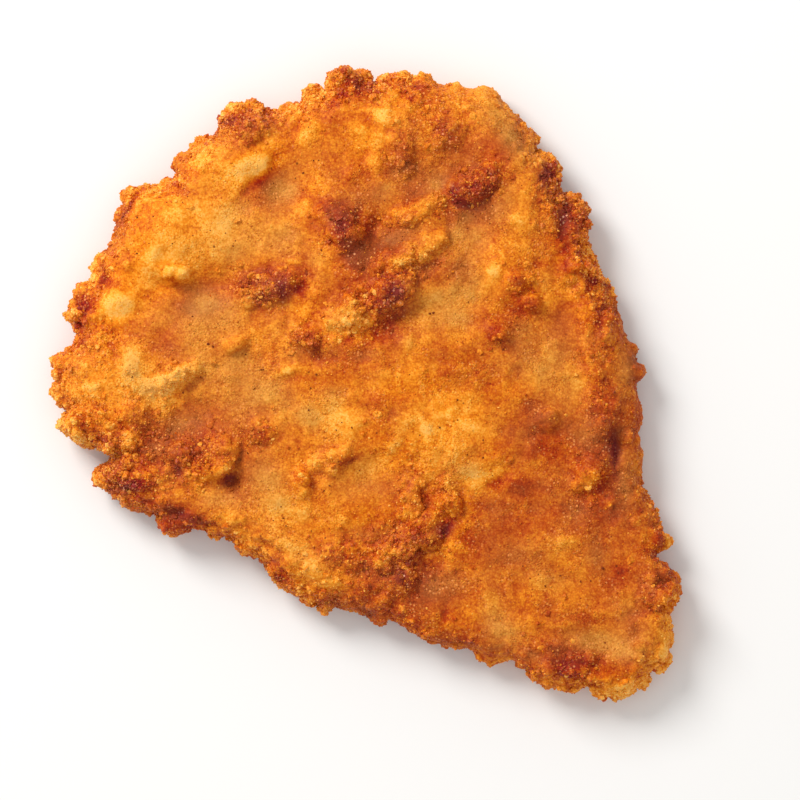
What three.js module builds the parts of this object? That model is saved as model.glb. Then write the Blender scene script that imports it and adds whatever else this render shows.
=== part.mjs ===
// A fried chicken fillet: one boneless breast piece in a browned, craggy batter crust, lying flat.
// Units are millimetres. +Z is up, +X runs to the right and +Y away from the viewer as it is usually shown,
// with the wide end at -X +Y and the thin tail at +X -Y. The origin is under the middle of the fillet's box,
// on the surface that the fillet lies on. Crust and meat are one piece, so the whole fillet is one solid.
import * as THREE from "three";

// ---- Driving dimensions --------------------------------------------------------------------------------
const THICK_MIDDLE = 17.5; // height of the crust over the thick part of the breast
const THICK_EDGE = 11; // height that the thickness falls to towards the tail and the sides
const THICK_SPOT = { x: -4, y: 14, reach: 46 }; // where the breast is thickest, and how far that swelling goes
const WIDEST_HEIGHT = 5; // height of the rim's widest line above the table
const SHOULDER = 8; // how far in from the rim the top becomes level
const FOOT = 6; // how far in from the rim the underside comes down to the table
const LUMP_HEIGHT = 0.55; // the batter's gentle all-over unevenness
const CRAG_SPREAD = 1.15; // how far a crag's foot spreads past its length and width
const CRAG_UNEVEN = 0.35; // share of a crag's height by which its top is uneven
const RIM_LUMP = 0.85; // how far the rim goes in and out between its knobs
const KNOB_SPREAD = 1.5; // how far a rim knob's foot spreads past its radius
const KNOB_RISE = 1.5; // how far a rim knob's middle lies above the rim's widest line

// ---- Resolution ----------------------------------------------------------------------------------------
const TOP_STEP = 2.35; // size of the top's facets
const RIM_STEP = 1.9; // size of the rim's facets
const UNDER_STEP = 6.5; // size of the underside's facets
const RIM_ROWS = 8; // rows of facets round the rim, from shoulder to foot

// The outline seen from above, clockwise from the top edge, through the places where it turns.
const OUTLINE = [
  [-10, 61.5], [-2, 65.5], [6, 67], [13, 66.3], [20, 65], [27, 65], [31, 61.5], [36, 55.5], [38.5, 49.5],
  [42, 43.5], [46, 37.5], [48.5, 31], [52, 25.5], [55.2, 18], [58, 9.5], [60.4, 2], [61, -10], [61.3, -21],
  [63.7, -28], [65.3, -34], [65, -39.5], [68.3, -44.5], [67.5, -50], [67.3, -57], [64.5, -62.5], [58.5, -67.3],
  [54.5, -68.7], [50.3, -65.8], [43.5, -67], [38.5, -64], [35, -61.3], [24, -58.8], [10, -54.7], [0, -50.7],
  [-10, -48], [-17, -44.3], [-22, -40], [-27, -36], [-33, -32], [-40, -29.3], [-47, -27.3], [-54, -25],
  [-58, -20.5], [-56.3, -16.5], [-58.5, -12.5], [-64.5, -10], [-65.5, -4.5], [-68, 0.5], [-66.7, 5.5],
  [-63, 10.5], [-62.7, 17], [-60, 21.5], [-59, 26.5], [-55.7, 30.5], [-54, 37], [-49.5, 42.5], [-42, 44.7],
  [-39.7, 49.5], [-35.5, 54], [-28.5, 57.5], [-20, 60],
];

// Broad rises and hollows of the crust: x, y, reach along, reach across, turn in degrees, rise.
const SWELLS = [
  [-44, 33, 15, 10, 25, 3], // upper left lobe
  [-30, 49.5, 10, 5.5, 15, 2.4], // lobe under the top left knobs
  [-52, 3, 13, 8, 10, 2], // left lobe
  [-54.5, 18, 4, 3.5, 0, 1.6], // small smooth bubble
  [3, 58, 14, 6, 0, 1.4], // along the top edge
  [33, 38, 17, 6, 105, 2.2], // long swelling on the right
  [29, 23, 6, 5, 100, 1.2],
  [14, -11, 15, 6, -30, 1.7], // smooth diagonal in the middle
  [-13, -27, 14, 6, -40, 1.2],
  [-15, -38.5, 12, 4, -35, 1.4],
  [42, -35, 8, 6, 0, 1],
  [62, -57, 4, 8, -15, 1.3], // right lobe of the tail
  [50, 8, 17, 3, 95, 1.2], // crest along the right side
  [50, -22, 12, 3, 85, 1],
  [-36, 21, 11, 4.5, 10, -2.4], // hollow under the upper left lobe
  [-18, 43, 6, 5, 60, -1.8],
  [-40, -7, 9, 6, 0, -2.4], // hollow right of the left lobe
  [-22, 7, 9, 12, 0, -0.9],
  [3, 33, 3.5, 6, -20, -2.2], // behind the dark ridge
  [14, 45, 8, 4, 20, -1.5],
  [20, 18, 8, 5, 15, -1.7], // smooth hollow in the middle
  [23, 33, 5, 5, 0, -1.2],
  [7, 13.5, 7, 3, 35, -1.8], // under the large flap
  [39, 14, 5, 9, 0, -1],
  [1, -20, 6, 5, 0, -1.4],
  [13, -40, 4, 6, 0, -1.6],
  [52, -56, 6, 4, -10, -1.5], // smooth hollow in the tail
  [54.7, -14, 1.8, 6, 0, -3], // crease inside the right edge
  [43.5, 37, 1.8, 4, -10, -4], // cleft behind the knobs of the right edge
  [-29, -21, 2.6, 4, -20, -3], // dark pocket beside the lower left flap
];

// Crags and flaps that stand on the crust: x, y, length, width, turn in degrees, height over the crust.
const CRAGS = [
  [-22, 21, 14, 6, 18, 1.5], // dark cluster left of the middle
  [-6, 35, 13, 5.5, -62, 2.2], // dark ridge above the middle
  [9, 28.5, 18, 4.5, 22, 1.3], // flap beside it
  [11, 38, 14, 3.5, 22, 1.1],
  [-5, 15.5, 10, 6, 35, 1.8], // large flap, its pale end
  [5, 20.5, 10, 6, 42, 2.4], // and its dark end
  [-13, 10.5, 6, 5, 0, 1.3],
  [24, 43.5, 13, 6, 33, 2],
  [8, 50, 10, 4, -75, 1],
  [18, 55.5, 8, 6, -40, 0.8],
  [-25, 55.5, 8, 4, 60, 1],
  [-41, 2, 10, 3.5, 20, 1.2], // lit ridge on the left
  [-42, 23.5, 8, 2.5, -15, 1.1],
  [-28, 9, 5, 3, 20, 0.9],
  [-23, -10.5, 6, 4, 0, 1.1],
  [-61, -8, 8, 6, 0, 1.3], // lower left field
  [-50, -7.5, 6, 6, 0, 1.3],
  [-53, -13, 9, 4.5, 30, 1.2],
  [-41, -15, 8, 4, 10, 1.2],
  [-33, -16.5, 11, 6.5, 35, 2],
  [-48, -20, 12, 5, 10, 0.9],
  [33, 22.5, 5, 4, 0, 1],
  [36, 18, 4, 4, 0, 1],
  [29, 11, 6, 4, -20, 0.9],
  [46, 26, 9, 5, 20, 1],
  [53, 12, 8, 3.5, 75, 1],
  [52, -8, 8, 4, 80, 1],
  [48.5, -19, 9, 5, 50, 1.3],
  [39, -8, 6, 5, 0, 0.8],
  [-8, -16.5, 10, 5, 25, 1.2], // flap in the lower middle
  [-14, -21.5, 7, 3, -80, 1],
  [10, -25, 9, 3.5, -75, 1.2],
  [18.5, -25.5, 8, 4, -65, 1.4],
  [12.5, -32, 11, 6, 35, 1.7], // bottom crags
  [5, -37.5, 12, 6, 25, 1.6],
  [7.5, -43, 8, 6, 0, 1.5],
  [-6, -37, 9, 5, -10, 1],
  [45, -61.5, 10, 5, 10, 1.4], // crags of the tail
  [64, -46, 8, 5, 15, 1],
];

// Knobs of crust that stand out of the rim: x and y on the outline, radius.
const RIM_KNOBS = [
  [-4, 66, 4], [-11, 62, 2.4], [8, 67, 2.4], [18, 65.5, 1.8], [30, 62, 1.8], // along the top
  [-24, 59, 2.4], [-29, 57.5, 2.8], [-41, 47, 2.2], [-51, 41, 1.6], // top left
  [-54, 36, 2.2], [-59, 25, 2.4], [-62, 18, 2.2], [-63, 13, 2.2], [-67, 5, 1.8], [-67, -1.5, 1.8],
  [-65, -8, 2], [-57.5, -20, 2.2], // left
  [-43.5, -28.5, 2.6], [-33.5, -31.6, 2.2], [-26.5, -36.4, 2], [-20, -41.6, 2], [-9, -48.2, 2.2],
  [3.5, -51.6, 2], [15, -56, 1.8], [25, -59, 2], [31, -60, 2], // bottom left
  [40.5, -64.8, 2], [45, -66.6, 2], [56, -68.2, 2], [61.5, -65.3, 2], // tail
  [68.3, -46.5, 2.2], [65.2, -35.5, 1.6], [61.5, -18, 1.6], [61, 2, 1.6], [56, 15.5, 1.6], // right
  [47.5, 36.5, 2.6], [42, 44.5, 2.8], [38, 51, 2], [35.5, 56, 1.6],
];

// ---- Helpers -------------------------------------------------------------------------------------------
const radians = THREE.MathUtils.degToRad;

// A smooth patternless wave between about -1 and 1, the same each time.
function ripple(x, y) {
  const bend = Math.sin(x / 6.1 + 1.3) + Math.sin(y / 7.3 + 0.4);
  return 0.6 * Math.sin(x / 3.7 + bend) * Math.cos(y / 4.3 - bend) + 0.4 * Math.sin((x + y) / 2.3 + 2 * bend);
}

// Height of a rounded hill over the point (x, y), as a share of its top.
function hill(x, y, [cx, cy, along, across, turn]) {
  const c = Math.cos(radians(turn));
  const s = Math.sin(radians(turn));
  const a = ((x - cx) * c + (y - cy) * s) / along;
  const b = ((y - cy) * c - (x - cx) * s) / across;
  return Math.exp(-(a * a + b * b));
}

// Height of a crag over the point (x, y), as a share of its own: a steep-sided mound with an uneven top.
function crag(x, y, [cx, cy, length, width, turn]) {
  const c = Math.cos(radians(turn));
  const s = Math.sin(radians(turn));
  const a = (2 * ((x - cx) * c + (y - cy) * s)) / length;
  const b = (2 * ((y - cy) * c - (x - cx) * s)) / width;
  const away = (a * a + b * b) / CRAG_SPREAD ** 2;
  return Math.max(0, 1 - away * away) * (1 + CRAG_UNEVEN * ripple(2.2 * x, 2.2 * y));
}

// How far the rim stands out at the point (x, y, z): its own lumps, and the knobs as rounded caps.
function rimRise(x, y, z) {
  let rise = RIM_LUMP * ripple(2 * (x + z), 2 * (y - z));
  for (const [kx, ky, radius] of RIM_KNOBS) {
    const away = Math.hypot(x - kx, y - ky, z - WIDEST_HEIGHT - KNOB_RISE) / (KNOB_SPREAD * radius);
    rise += radius * Math.sqrt(Math.max(0, 1 - away * away));
  }
  return rise;
}

// Height of the crust over the point (x, y), where it isn't rounded off to the rim.
function crustHeight(x, y) {
  const spread = Math.hypot(x - THICK_SPOT.x, y - THICK_SPOT.y) / THICK_SPOT.reach;
  let height = THICK_EDGE + (THICK_MIDDLE - THICK_EDGE) * Math.exp(-spread * spread);
  for (const swell of SWELLS) height += swell[5] * hill(x, y, swell);
  for (const one of CRAGS) height += one[5] * crag(x, y, one);
  return height + LUMP_HEIGHT * ripple(x, y);
}

// ---- The body: rows of points from the middle of the top, over the rim, to the middle of the underside --
const outline = new THREE.CatmullRomCurve3(OUTLINE.map(([x, y]) => new THREE.Vector3(x, y, 0)).reverse(), true);
const perimeter = outline.getLength();

// A point of the outline, with its distance and direction from the middle.
function outlineAt(share) {
  const p = outline.getPointAt(((share % 1) + 1) % 1);
  const reach = p.length();
  return { reach, x: p.x / reach, y: p.y / reach };
}

// One closed row: place(edge) gives a point's distance from the middle, and its height is found from that.
function row(count, shift, place) {
  const points = [];
  for (let i = 0; i < count; i++) {
    const edge = outlineAt((i + shift) / count);
    const { out, height } = place(edge);
    points.push(new THREE.Vector3(edge.x * out, edge.y * out, height(edge.x * out, edge.y * out)));
  }
  return { points, shift };
}

// The level inside of the top or the underside, as rows from the middle outwards.
function levelRows(step, inset, height) {
  const meanReach = perimeter / (2 * Math.PI);
  const count = Math.round((meanReach - inset) / step);
  const rows = [];
  for (let i = 1; i <= count; i++) {
    const share = i / count;
    const around = Math.max(6, Math.round((perimeter * share * (1 - inset / meanReach)) / step));
    rows.push(row(around, (i % 2) / 2, (edge) => ({ out: share * (edge.reach - inset), height })));
  }
  return rows;
}

// The rounded rim, as rows from the shoulder down to the foot. The angle goes from 90 to -90 degrees.
function rimRows() {
  const rows = [];
  for (let i = 1; i < RIM_ROWS; i++) {
    const angle = radians(90 - (180 * i) / RIM_ROWS);
    const inset = angle > 0 ? SHOULDER : FOOT;
    const height = (x, y) =>
      angle > 0
        ? WIDEST_HEIGHT + (crustHeight(x, y) - WIDEST_HEIGHT) * Math.sin(angle)
        : WIDEST_HEIGHT * (1 + Math.sin(angle));
    const place = (edge) => {
      const out = edge.reach - inset * (1 - Math.cos(angle));
      const z = height(edge.x * out, edge.y * out);
      const rise = rimRise(edge.x * edge.reach, edge.y * edge.reach, z) * Math.cos(angle);
      return { out: out + rise, height: () => z };
    };
    rows.push(row(Math.round(perimeter / RIM_STEP), (i % 2) / 2, place));
  }
  return rows;
}

// Triangles between two rows that may have different counts. Each step goes on along the row that is behind.
function stitch(inner, outer, offset, triangles) {
  const [a, b] = [inner.points.length, outer.points.length];
  let [i, j] = [0, 0];
  while (i < a || j < b) {
    const onInner = offset.inner + (i % a);
    const onOuter = offset.outer + (j % b);
    const nextInner = (i + 1 + inner.shift) / a;
    const nextOuter = (j + 1 + outer.shift) / b;
    if (j === b || (i < a && nextInner < nextOuter)) {
      triangles.push(onInner, onOuter, offset.inner + ((i + 1) % a));
      i++;
    } else {
      triangles.push(onInner, onOuter, offset.outer + ((j + 1) % b));
      j++;
    }
  }
}

function bodyGeometry() {
  const rows = [
    { points: [new THREE.Vector3(0, 0, crustHeight(0, 0))], shift: 0 },
    ...levelRows(TOP_STEP, SHOULDER, crustHeight),
    ...rimRows(),
    ...levelRows(UNDER_STEP, FOOT, () => 0).reverse(),
    { points: [new THREE.Vector3(0, 0, 0)], shift: 0 },
  ];
  const triangles = [];
  let start = 0;
  rows.slice(1).forEach((outer, i) => {
    const inner = rows[i];
    stitch(inner, outer, { inner: start, outer: start + inner.points.length }, triangles);
    start += inner.points.length;
  });
  const geometry = new THREE.BufferGeometry().setFromPoints(rows.flatMap((r) => r.points));
  // A row of one point makes triangles with two equal corners, which are left out.
  const real = [];
  for (let i = 0; i < triangles.length; i += 3) {
    const [p, q, r] = triangles.slice(i, i + 3);
    if (p !== q && q !== r && r !== p) real.push(p, q, r);
  }
  return geometry.setIndex(real);
}

// ---- The finished piece, moved so that the origin is under the middle of its box -----------------------
function filletGeometry() {
  const geometry = bodyGeometry();
  geometry.computeBoundingBox();
  const middle = geometry.boundingBox.getCenter(new THREE.Vector3());
  geometry.translate(-middle.x, -middle.y, -geometry.boundingBox.min.z);
  geometry.computeVertexNormals();
  return geometry;
}

const crust = new THREE.MeshStandardMaterial({ color: 0xc8741f, roughness: 0.6, metalness: 0 });
const fillet = new THREE.Mesh(filletGeometry(), crust);
fillet.name = "fillet";

const food = new THREE.Group();
food.add(fillet);

export default food;
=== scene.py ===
# %% [markdown]
# # A fried chicken fillet
# A boneless chicken breast, dipped in seasoned flour and batter and fried until it is golden. What the eye
# reads as "fried" is three sizes of relief at once: the broad swells of the meat, the crags and flaps where
# batter has gathered, and grains of crust no bigger than sugar. Each size is made by the tool that suits it.
# The order is: body surface, lumps of batter, one skin over both, relief on the skin, colour, loose grains.

# %% The frame
from types import SimpleNamespace

import bmesh
import bpy
import numpy as np
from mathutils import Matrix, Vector


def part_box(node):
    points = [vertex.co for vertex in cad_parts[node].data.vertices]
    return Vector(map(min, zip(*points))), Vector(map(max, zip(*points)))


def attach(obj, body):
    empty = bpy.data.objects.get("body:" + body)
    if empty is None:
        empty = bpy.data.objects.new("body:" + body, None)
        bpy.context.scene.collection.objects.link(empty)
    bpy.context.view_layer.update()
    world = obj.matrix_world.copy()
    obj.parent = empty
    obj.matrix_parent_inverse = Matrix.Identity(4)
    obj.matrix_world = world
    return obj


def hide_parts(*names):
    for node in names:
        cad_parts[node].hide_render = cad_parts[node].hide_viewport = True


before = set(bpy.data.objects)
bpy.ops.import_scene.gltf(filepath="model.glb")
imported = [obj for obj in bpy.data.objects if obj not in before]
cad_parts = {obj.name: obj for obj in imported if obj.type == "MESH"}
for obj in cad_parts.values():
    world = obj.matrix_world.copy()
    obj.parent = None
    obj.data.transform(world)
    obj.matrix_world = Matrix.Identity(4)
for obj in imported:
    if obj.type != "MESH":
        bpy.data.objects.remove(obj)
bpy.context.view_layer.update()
LOW, HIGH = (np.array(corner) * 1000 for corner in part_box("fillet"))
MM = 0.001  # the lists and formulas are in millimetres, Blender's meshes in metres
PERCENT = 0.01
print("fillet box in mm", LOW.round(2), HIGH.round(2))

# %% [markdown]
# ## Camera, floor and light
# The fillet is seen from straight above through a long lens, so it shows no perspective. The light is soft
# and comes mostly from the upper left: left and upper slopes glow and the lower right rim is in shade. One
# large lamp gives that direction, and a white sky fills the shadows.

# %% Camera
VIEW_MIDDLE = Vector((7.6 * MM, -3.4 * MM, 0.0))
VIEW_WIDTH = 176 * MM
LENS = 200.0
SENSOR = 36.0
RIM_LEVEL = 7 * MM  # the frame's width is true at this height


def add_camera():
    """The camera's distance is the width that it shows, times lens over sensor."""
    data = bpy.data.cameras.new("camera")
    data.lens = LENS
    data.sensor_width = SENSOR
    data.clip_start = 0.01
    camera = bpy.data.objects.new("camera", data)
    distance = VIEW_WIDTH * LENS / SENSOR
    camera.location = VIEW_MIDDLE + Vector((0, 0, distance + RIM_LEVEL))
    bpy.context.scene.collection.objects.link(camera)
    bpy.context.scene.camera = camera
    print("camera height in mm", round(camera.location.z * 1000))


add_camera()

# %% Floor, lamp and sky
FLOOR_SIZE = 6.0
LAMP_FROM = Vector((-0.66, 0.72, 0.80))
LAMP_SIZE = 0.6
LAMP_POWER = 13.9
LAMP_COLOUR = (1.0, 0.98, 0.95)
SKY_STRENGTH = 0.7
SKY_COLOUR = (1.0, 0.985, 0.96, 1)
FLOOR_COLOUR = (0.86, 0.86, 0.86, 1)


def add_floor():
    """A wide, matt, pale square at the height of 0."""
    mesh = bpy.data.meshes.new("floor")
    half = FLOOR_SIZE / 2
    corners = [(-half, -half, 0), (half, -half, 0), (half, half, 0), (-half, half, 0)]
    mesh.from_pydata(corners, [], [(0, 1, 2, 3)])
    floor = bpy.data.objects.new("floor", mesh)
    paint = bpy.data.materials.new("pale_floor")
    paint.use_nodes = True
    shader = paint.node_tree.nodes["Principled BSDF"]
    shader.inputs["Base Color"].default_value = FLOOR_COLOUR
    shader.inputs["Roughness"].default_value = 0.9
    shader.inputs["Specular IOR Level"].default_value = 0.1
    mesh.materials.append(paint)
    bpy.context.scene.collection.objects.link(floor)


def add_light():
    """A round lamp that looks at the origin, and an even sky."""
    data = bpy.data.lights.new("lamp", "AREA")
    data.shape = "DISK"
    data.size = LAMP_SIZE
    data.energy = LAMP_POWER
    data.color = LAMP_COLOUR
    lamp = bpy.data.objects.new("lamp", data)
    lamp.location = LAMP_FROM
    lamp.rotation_euler = (-LAMP_FROM).to_track_quat("-Z", "Y").to_euler()
    bpy.context.scene.collection.objects.link(lamp)
    sky = bpy.data.worlds.new("sky")
    sky.use_nodes = True
    background = sky.node_tree.nodes["Background"]
    background.inputs["Color"].default_value = SKY_COLOUR
    background.inputs["Strength"].default_value = SKY_STRENGTH
    bpy.context.scene.world = sky
    print("lamp of", LAMP_POWER, "watts,", LAMP_SIZE, "m wide, sky strength", SKY_STRENGTH)


add_floor()
add_light()
bpy.context.scene.view_settings.view_transform = "Standard"

# %% [markdown]
# ## The body
# The meat's form is a soft cushion inside an outline: level on top with broad swells and hollows, rounded
# over a rim and flat underneath. A formula over named places can be read and changed, a sculpted one can't.
# Broad swells and crags are those of the solid model, apart from three clefts that small forms deepen here.

# %% Driving sizes
THICK_MIDDLE = 17.5  # height of the crust over the thick part of the breast
THICK_EDGE = 11  # height that the thickness falls to towards the tail and the sides
THICK_SPOT = (-4, 14)  # where the breast is thickest
THICK_REACH = 46
WIDEST_HEIGHT = 5  # height of the rim's widest line
SHOULDER = 8  # how far in from the rim the top becomes level
FOOT = 6  # how far in from the rim the underside comes down to the table
FORM_RISE = 1.1  # how strongly the small forms rise
FORM_SINK = 0.6  # and how strongly they sink
CRAG_RISE = 0.85  # how strongly the crags rise
CRAG_SPREAD = 1.1
BARE = 0.7  # how far the bare body lies inside the outline, as crumbs stand out from it
print("body", THICK_MIDDLE, "mm thick in the middle and", THICK_EDGE, "mm at its sides")

# %% The outline
# The outline from above, clockwise from the small knob at the top left, with every knob and notch of the rim.
OUTLINE = np.array([
    # top
    (-12.8, 65), (-11, 65.4), (-8.6, 63.6), (-8.1, 64.8), (-6.5, 67.5), (-3.5, 69.8), (-0.8, 68.3), (0.6, 67),
    (2, 67), (3.6, 67.8), (6, 68), (7.3, 69.2), (9, 68.8), (10.5, 67.6), (12.5, 68.2), (14, 67.2), (16, 65.8),
    (19.5, 66), (22, 65.5), (26.5, 65.7), (28.5, 65), (29.5, 63.5), (31, 62), (32, 60.5), (33.5, 59.2),
    (34.5, 57.5), (35.8, 56.5), (37.5, 55.5), (38, 54.5), (37.2, 53), (36.9, 52),
    # knobs of the upper right, then the even right side
    (38, 51.3), (39.5, 51.2), (40.5, 50.2), (42, 48.8), (42.8, 46.5), (42.8, 43.4), (43.7, 42.3), (45.5, 42),
    (47, 41), (48, 40), (49.2, 37.5), (48.2, 36.2), (49.4, 34.5), (48.4, 33), (49.5, 30.5), (49.2, 29.3),
    (50.5, 28.5), (52, 24.5), (54, 21.5), (55, 19), (56, 16.5), (57, 14), (58, 10), (59.3, 8.5), (60.3, 5),
    (60.7, 3.8), (61.7, 3.2), (61.6, 1.9), (60.4, 0.3), (60.5, -2), (60.6, -4), (61.1, -6.8), (60.8, -9),
    (60.5, -12), (61.2, -16), (61.3, -18), (61, -21), (61.5, -23), (62.7, -25), (63.5, -27), (64.1, -29),
    (65, -31), (65.5, -33), (66.7, -34.3), (66.7, -35.8), (65.6, -37.2), (64.9, -38.6),
    # the tail
    (65.4, -39.6), (66.6, -40.7), (68, -42.5), (69.2, -44.3), (69.7, -46), (69.1, -47.8), (68.1, -48.9),
    (67.2, -49.8), (67.1, -51), (67.7, -53), (67.9, -56), (67.8, -58), (67, -59.3), (67, -61), (66.4, -62.8),
    (64.6, -63.5), (62.6, -64.7), (61.5, -66), (60.5, -66.6), (59.2, -67.8), (58, -68.6), (57.4, -69.8),
    (55.6, -70), (53.5, -69.4), (52, -68.3), (51, -66.8), (50.2, -66.2), (49, -67), (47, -67.6), (45, -68.2),
    (43.5, -67.8), (40.8, -67), (39.2, -65.6), (37.6, -64.2), (36.9, -62.8), (34.6, -62.8), (33.7, -61.3),
    (31.8, -61.3), (29.8, -61.6), (28, -61.9), (26.6, -61.4), (25.3, -60),
    # the long lower edge
    (23.5, -59), (21.5, -58.7), (20, -58), (18, -58.1), (16, -57.8), (14, -57), (11.5, -55.5), (8, -53.6),
    (6.2, -52.3), (5.3, -52.1), (4.5, -53.1), (3.5, -53.3), (1, -52), (-1.5, -51.2), (-3.5, -50.3),
    (-6.5, -49.5), (-8, -50.3), (-9.6, -50.2), (-11.2, -48.6), (-12.3, -49), (-13.2, -47.9), (-14.1, -46.5),
    (-15.2, -46.9), (-17.4, -46), (-18.2, -44.9), (-20, -43.9), (-21.6, -42.3), (-21.4, -41), (-22.6, -39.7),
    (-24.3, -38), (-26, -37.6), (-27.2, -38.2), (-28.4, -36.8), (-29.6, -35.2), (-31.3, -33.7),
    (-32.8, -33.7), (-34.4, -33.8), (-36, -32.6), (-38, -32), (-40, -32), (-41.3, -32.4), (-43, -33),
    (-44.8, -32.2), (-45.4, -31), (-45.9, -29.2), (-45.4, -28.2),
    # lower left, with its notches
    (-48, -28.4), (-50, -28.3), (-52, -27.5), (-53.8, -26.5), (-56, -24.5), (-57.6, -23), (-59.1, -22.3),
    (-60.3, -21.4), (-60, -20.2), (-59, -19.5), (-58.4, -18.3), (-56.8, -18.2), (-55.5, -17.6), (-56.4, -16),
    (-57.2, -14.8), (-58.5, -13.5), (-61, -13.4), (-63, -12.7), (-65, -11.9), (-66.6, -11), (-66.9, -9.7),
    (-67.5, -8.2), (-66.8, -7.1), (-65.4, -7.1), (-64.5, -6.6), (-65.3, -5.8), (-66.4, -4.4), (-67.6, -3.6),
    (-68.5, -2.5), (-69, -1.4), (-68.6, 0.2), (-69, 1.8), (-69.6, 2.5), (-68.8, 3.6), (-69.3, 4.8),
    # left and upper left
    (-69.5, 5.7), (-68.1, 6.1), (-67.3, 5.9), (-66.3, 6.5), (-65.1, 7.3), (-64.5, 8.5), (-64.2, 10),
    (-64.2, 12), (-64.9, 13.6), (-65.9, 14.9), (-66.1, 15.8), (-64.6, 15.5), (-63.7, 16.2), (-64.3, 17.3),
    (-63.9, 19), (-62.8, 20.7), (-61.4, 21.6), (-60, 22.3), (-59.7, 24), (-59.7, 26.5), (-58.9, 28.2),
    (-57, 29.5), (-56.2, 31), (-55.6, 33.5), (-55.1, 36), (-54.3, 38.5), (-53, 41), (-51.2, 43), (-49, 43.7),
    (-46.5, 43.5), (-44, 45), (-42.2, 45.2), (-41.4, 45.5), (-42, 47.3), (-42, 49), (-41, 50.6), (-39.3, 51),
    (-38, 52.4), (-36.5, 54), (-34.6, 54.3), (-32.6, 55.5), (-31.9, 57.3), (-31.5, 59.5), (-29.5, 61),
    (-27, 61.6), (-25, 62), (-23.2, 60.2), (-20.5, 60.5), (-16.5, 62), (-14.2, 61.2), (-13.2, 63),
], float)
print("outline of", len(OUTLINE), "points")

# %% Swells, hollows and crags
# Broad rises and hollows: x, y, reach along, reach across, turn in degrees, rise.
SWELLS = [
    (-44, 33, 15, 10, 25, 3),  # upper left lobe
    (-30, 49.5, 10, 5.5, 15, 2.4),  # lobe under the top left knobs
    (-52, 3, 13, 8, 10, 2),  # left lobe
    (-54.5, 18, 4, 3.5, 0, 1.6),  # small smooth bubble
    (3, 58, 14, 6, 0, 1.4),  # along the top edge
    (33, 38, 17, 6, 105, 2.2),  # long swelling on the right
    (29, 23, 6, 5, 100, 1.2),
    (14, -11, 15, 6, -30, 1.7),  # smooth diagonal in the middle
    (-13, -27, 14, 6, -40, 1.2),
    (-15, -38.5, 12, 4, -35, 1.4),
    (42, -35, 8, 6, 0, 1),
    (62, -57, 4, 8, -15, 1.3),  # right lobe of the tail
    (50, 8, 17, 3, 95, 1.2),  # crest along the right side
    (50, -22, 12, 3, 85, 1),
    (-36, 21, 11, 4.5, 10, -2.4),  # hollow under the upper left lobe
    (-18, 43, 6, 5, 60, -1.8),
    (-40, -7, 9, 6, 0, -2.4),  # hollow right of the left lobe
    (-22, 7, 9, 12, 0, -0.9),
    (3, 33, 3.5, 6, -20, -2.2),  # behind the dark ridge
    (14, 45, 8, 4, 20, -1.5),
    (20, 18, 8, 5, 15, -1.7),  # smooth hollow in the middle
    (23, 33, 5, 5, 0, -1.2),
    (7, 13.5, 7, 3, 35, -1.8),  # under the large flap
    (39, 14, 5, 9, 0, -1),
    (1, -20, 6, 5, 0, -1.4),
    (13, -40, 4, 6, 0, -1.6),
    (52, -56, 6, 4, -10, -1.5),  # smooth hollow in the tail
    (54.7, -14, 1.8, 6, 0, -1.8),  # crease inside the right edge
    (43.5, 37, 1.8, 4, -10, -2.6),  # cleft behind the knobs of the right edge
    (-29, -21, 2.6, 4, -20, -2.2),  # dark pocket beside the lower left flap
]

# Crags and flaps: x, y, length, width, turn in degrees, height over the crust.
CRAGS = [
    (-22, 21, 14, 6, 18, 1.5),  # dark cluster left of the middle
    (-6, 35, 13, 5.5, -62, 2.2),  # dark ridge above the middle
    (9, 28.5, 18, 4.5, 22, 1.3),  # flap beside it
    (11, 38, 14, 3.5, 22, 1.1),
    (-5, 15.5, 10, 6, 35, 1.8),  # large flap, its pale end
    (5, 20.5, 10, 6, 42, 2.4),  # and its dark end
    (-13, 10.5, 6, 5, 0, 1.3),
    (24, 43.5, 13, 6, 33, 2),
    (8, 50, 10, 4, -75, 1),
    (18, 55.5, 8, 6, -40, 0.8),
    (-25, 55.5, 8, 4, 60, 1),
    (-41, 2, 10, 3.5, 20, 1.2),  # lit ridge on the left
    (-42, 23.5, 8, 2.5, -15, 1.1),
    (-28, 9, 5, 3, 20, 0.9),
    (-23, -10.5, 6, 4, 0, 1.1),
    (-61, -8, 8, 6, 0, 1.3),  # lower left field
    (-50, -7.5, 6, 6, 0, 1.3),
    (-53, -13, 9, 4.5, 30, 1.2),
    (-41, -15, 8, 4, 10, 1.2),
    (-33, -16.5, 11, 6.5, 35, 2),
    (-48, -20, 12, 5, 10, 0.9),
    (33, 22.5, 5, 4, 0, 1),
    (36, 18, 4, 4, 0, 1),
    (29, 11, 6, 4, -20, 0.9),
    (46, 26, 9, 5, 20, 1),
    (53, 12, 8, 3.5, 75, 1),
    (52, -8, 8, 4, 80, 1),
    (48.5, -19, 9, 5, 50, 1.3),
    (39, -8, 6, 5, 0, 0.8),
    (-8, -16.5, 10, 5, 25, 1.2),  # flap in the lower middle
    (-14, -21.5, 7, 3, -80, 1),
    (10, -25, 9, 3.5, -75, 1.2),
    (18.5, -25.5, 8, 4, -65, 1.4),
    (12.5, -32, 11, 6, 35, 1.7),  # bottom crags
    (5, -37.5, 12, 6, 25, 1.6),
    (7.5, -43, 8, 6, 0, 1.5),
    (-6, -37, 9, 5, -10, 1),
    (45, -61.5, 10, 5, 10, 1.4),  # crags of the tail
    (64, -46, 8, 5, 15, 1),
]
print(len(SWELLS), "swells and hollows,", len(CRAGS), "crags and flaps")
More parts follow.
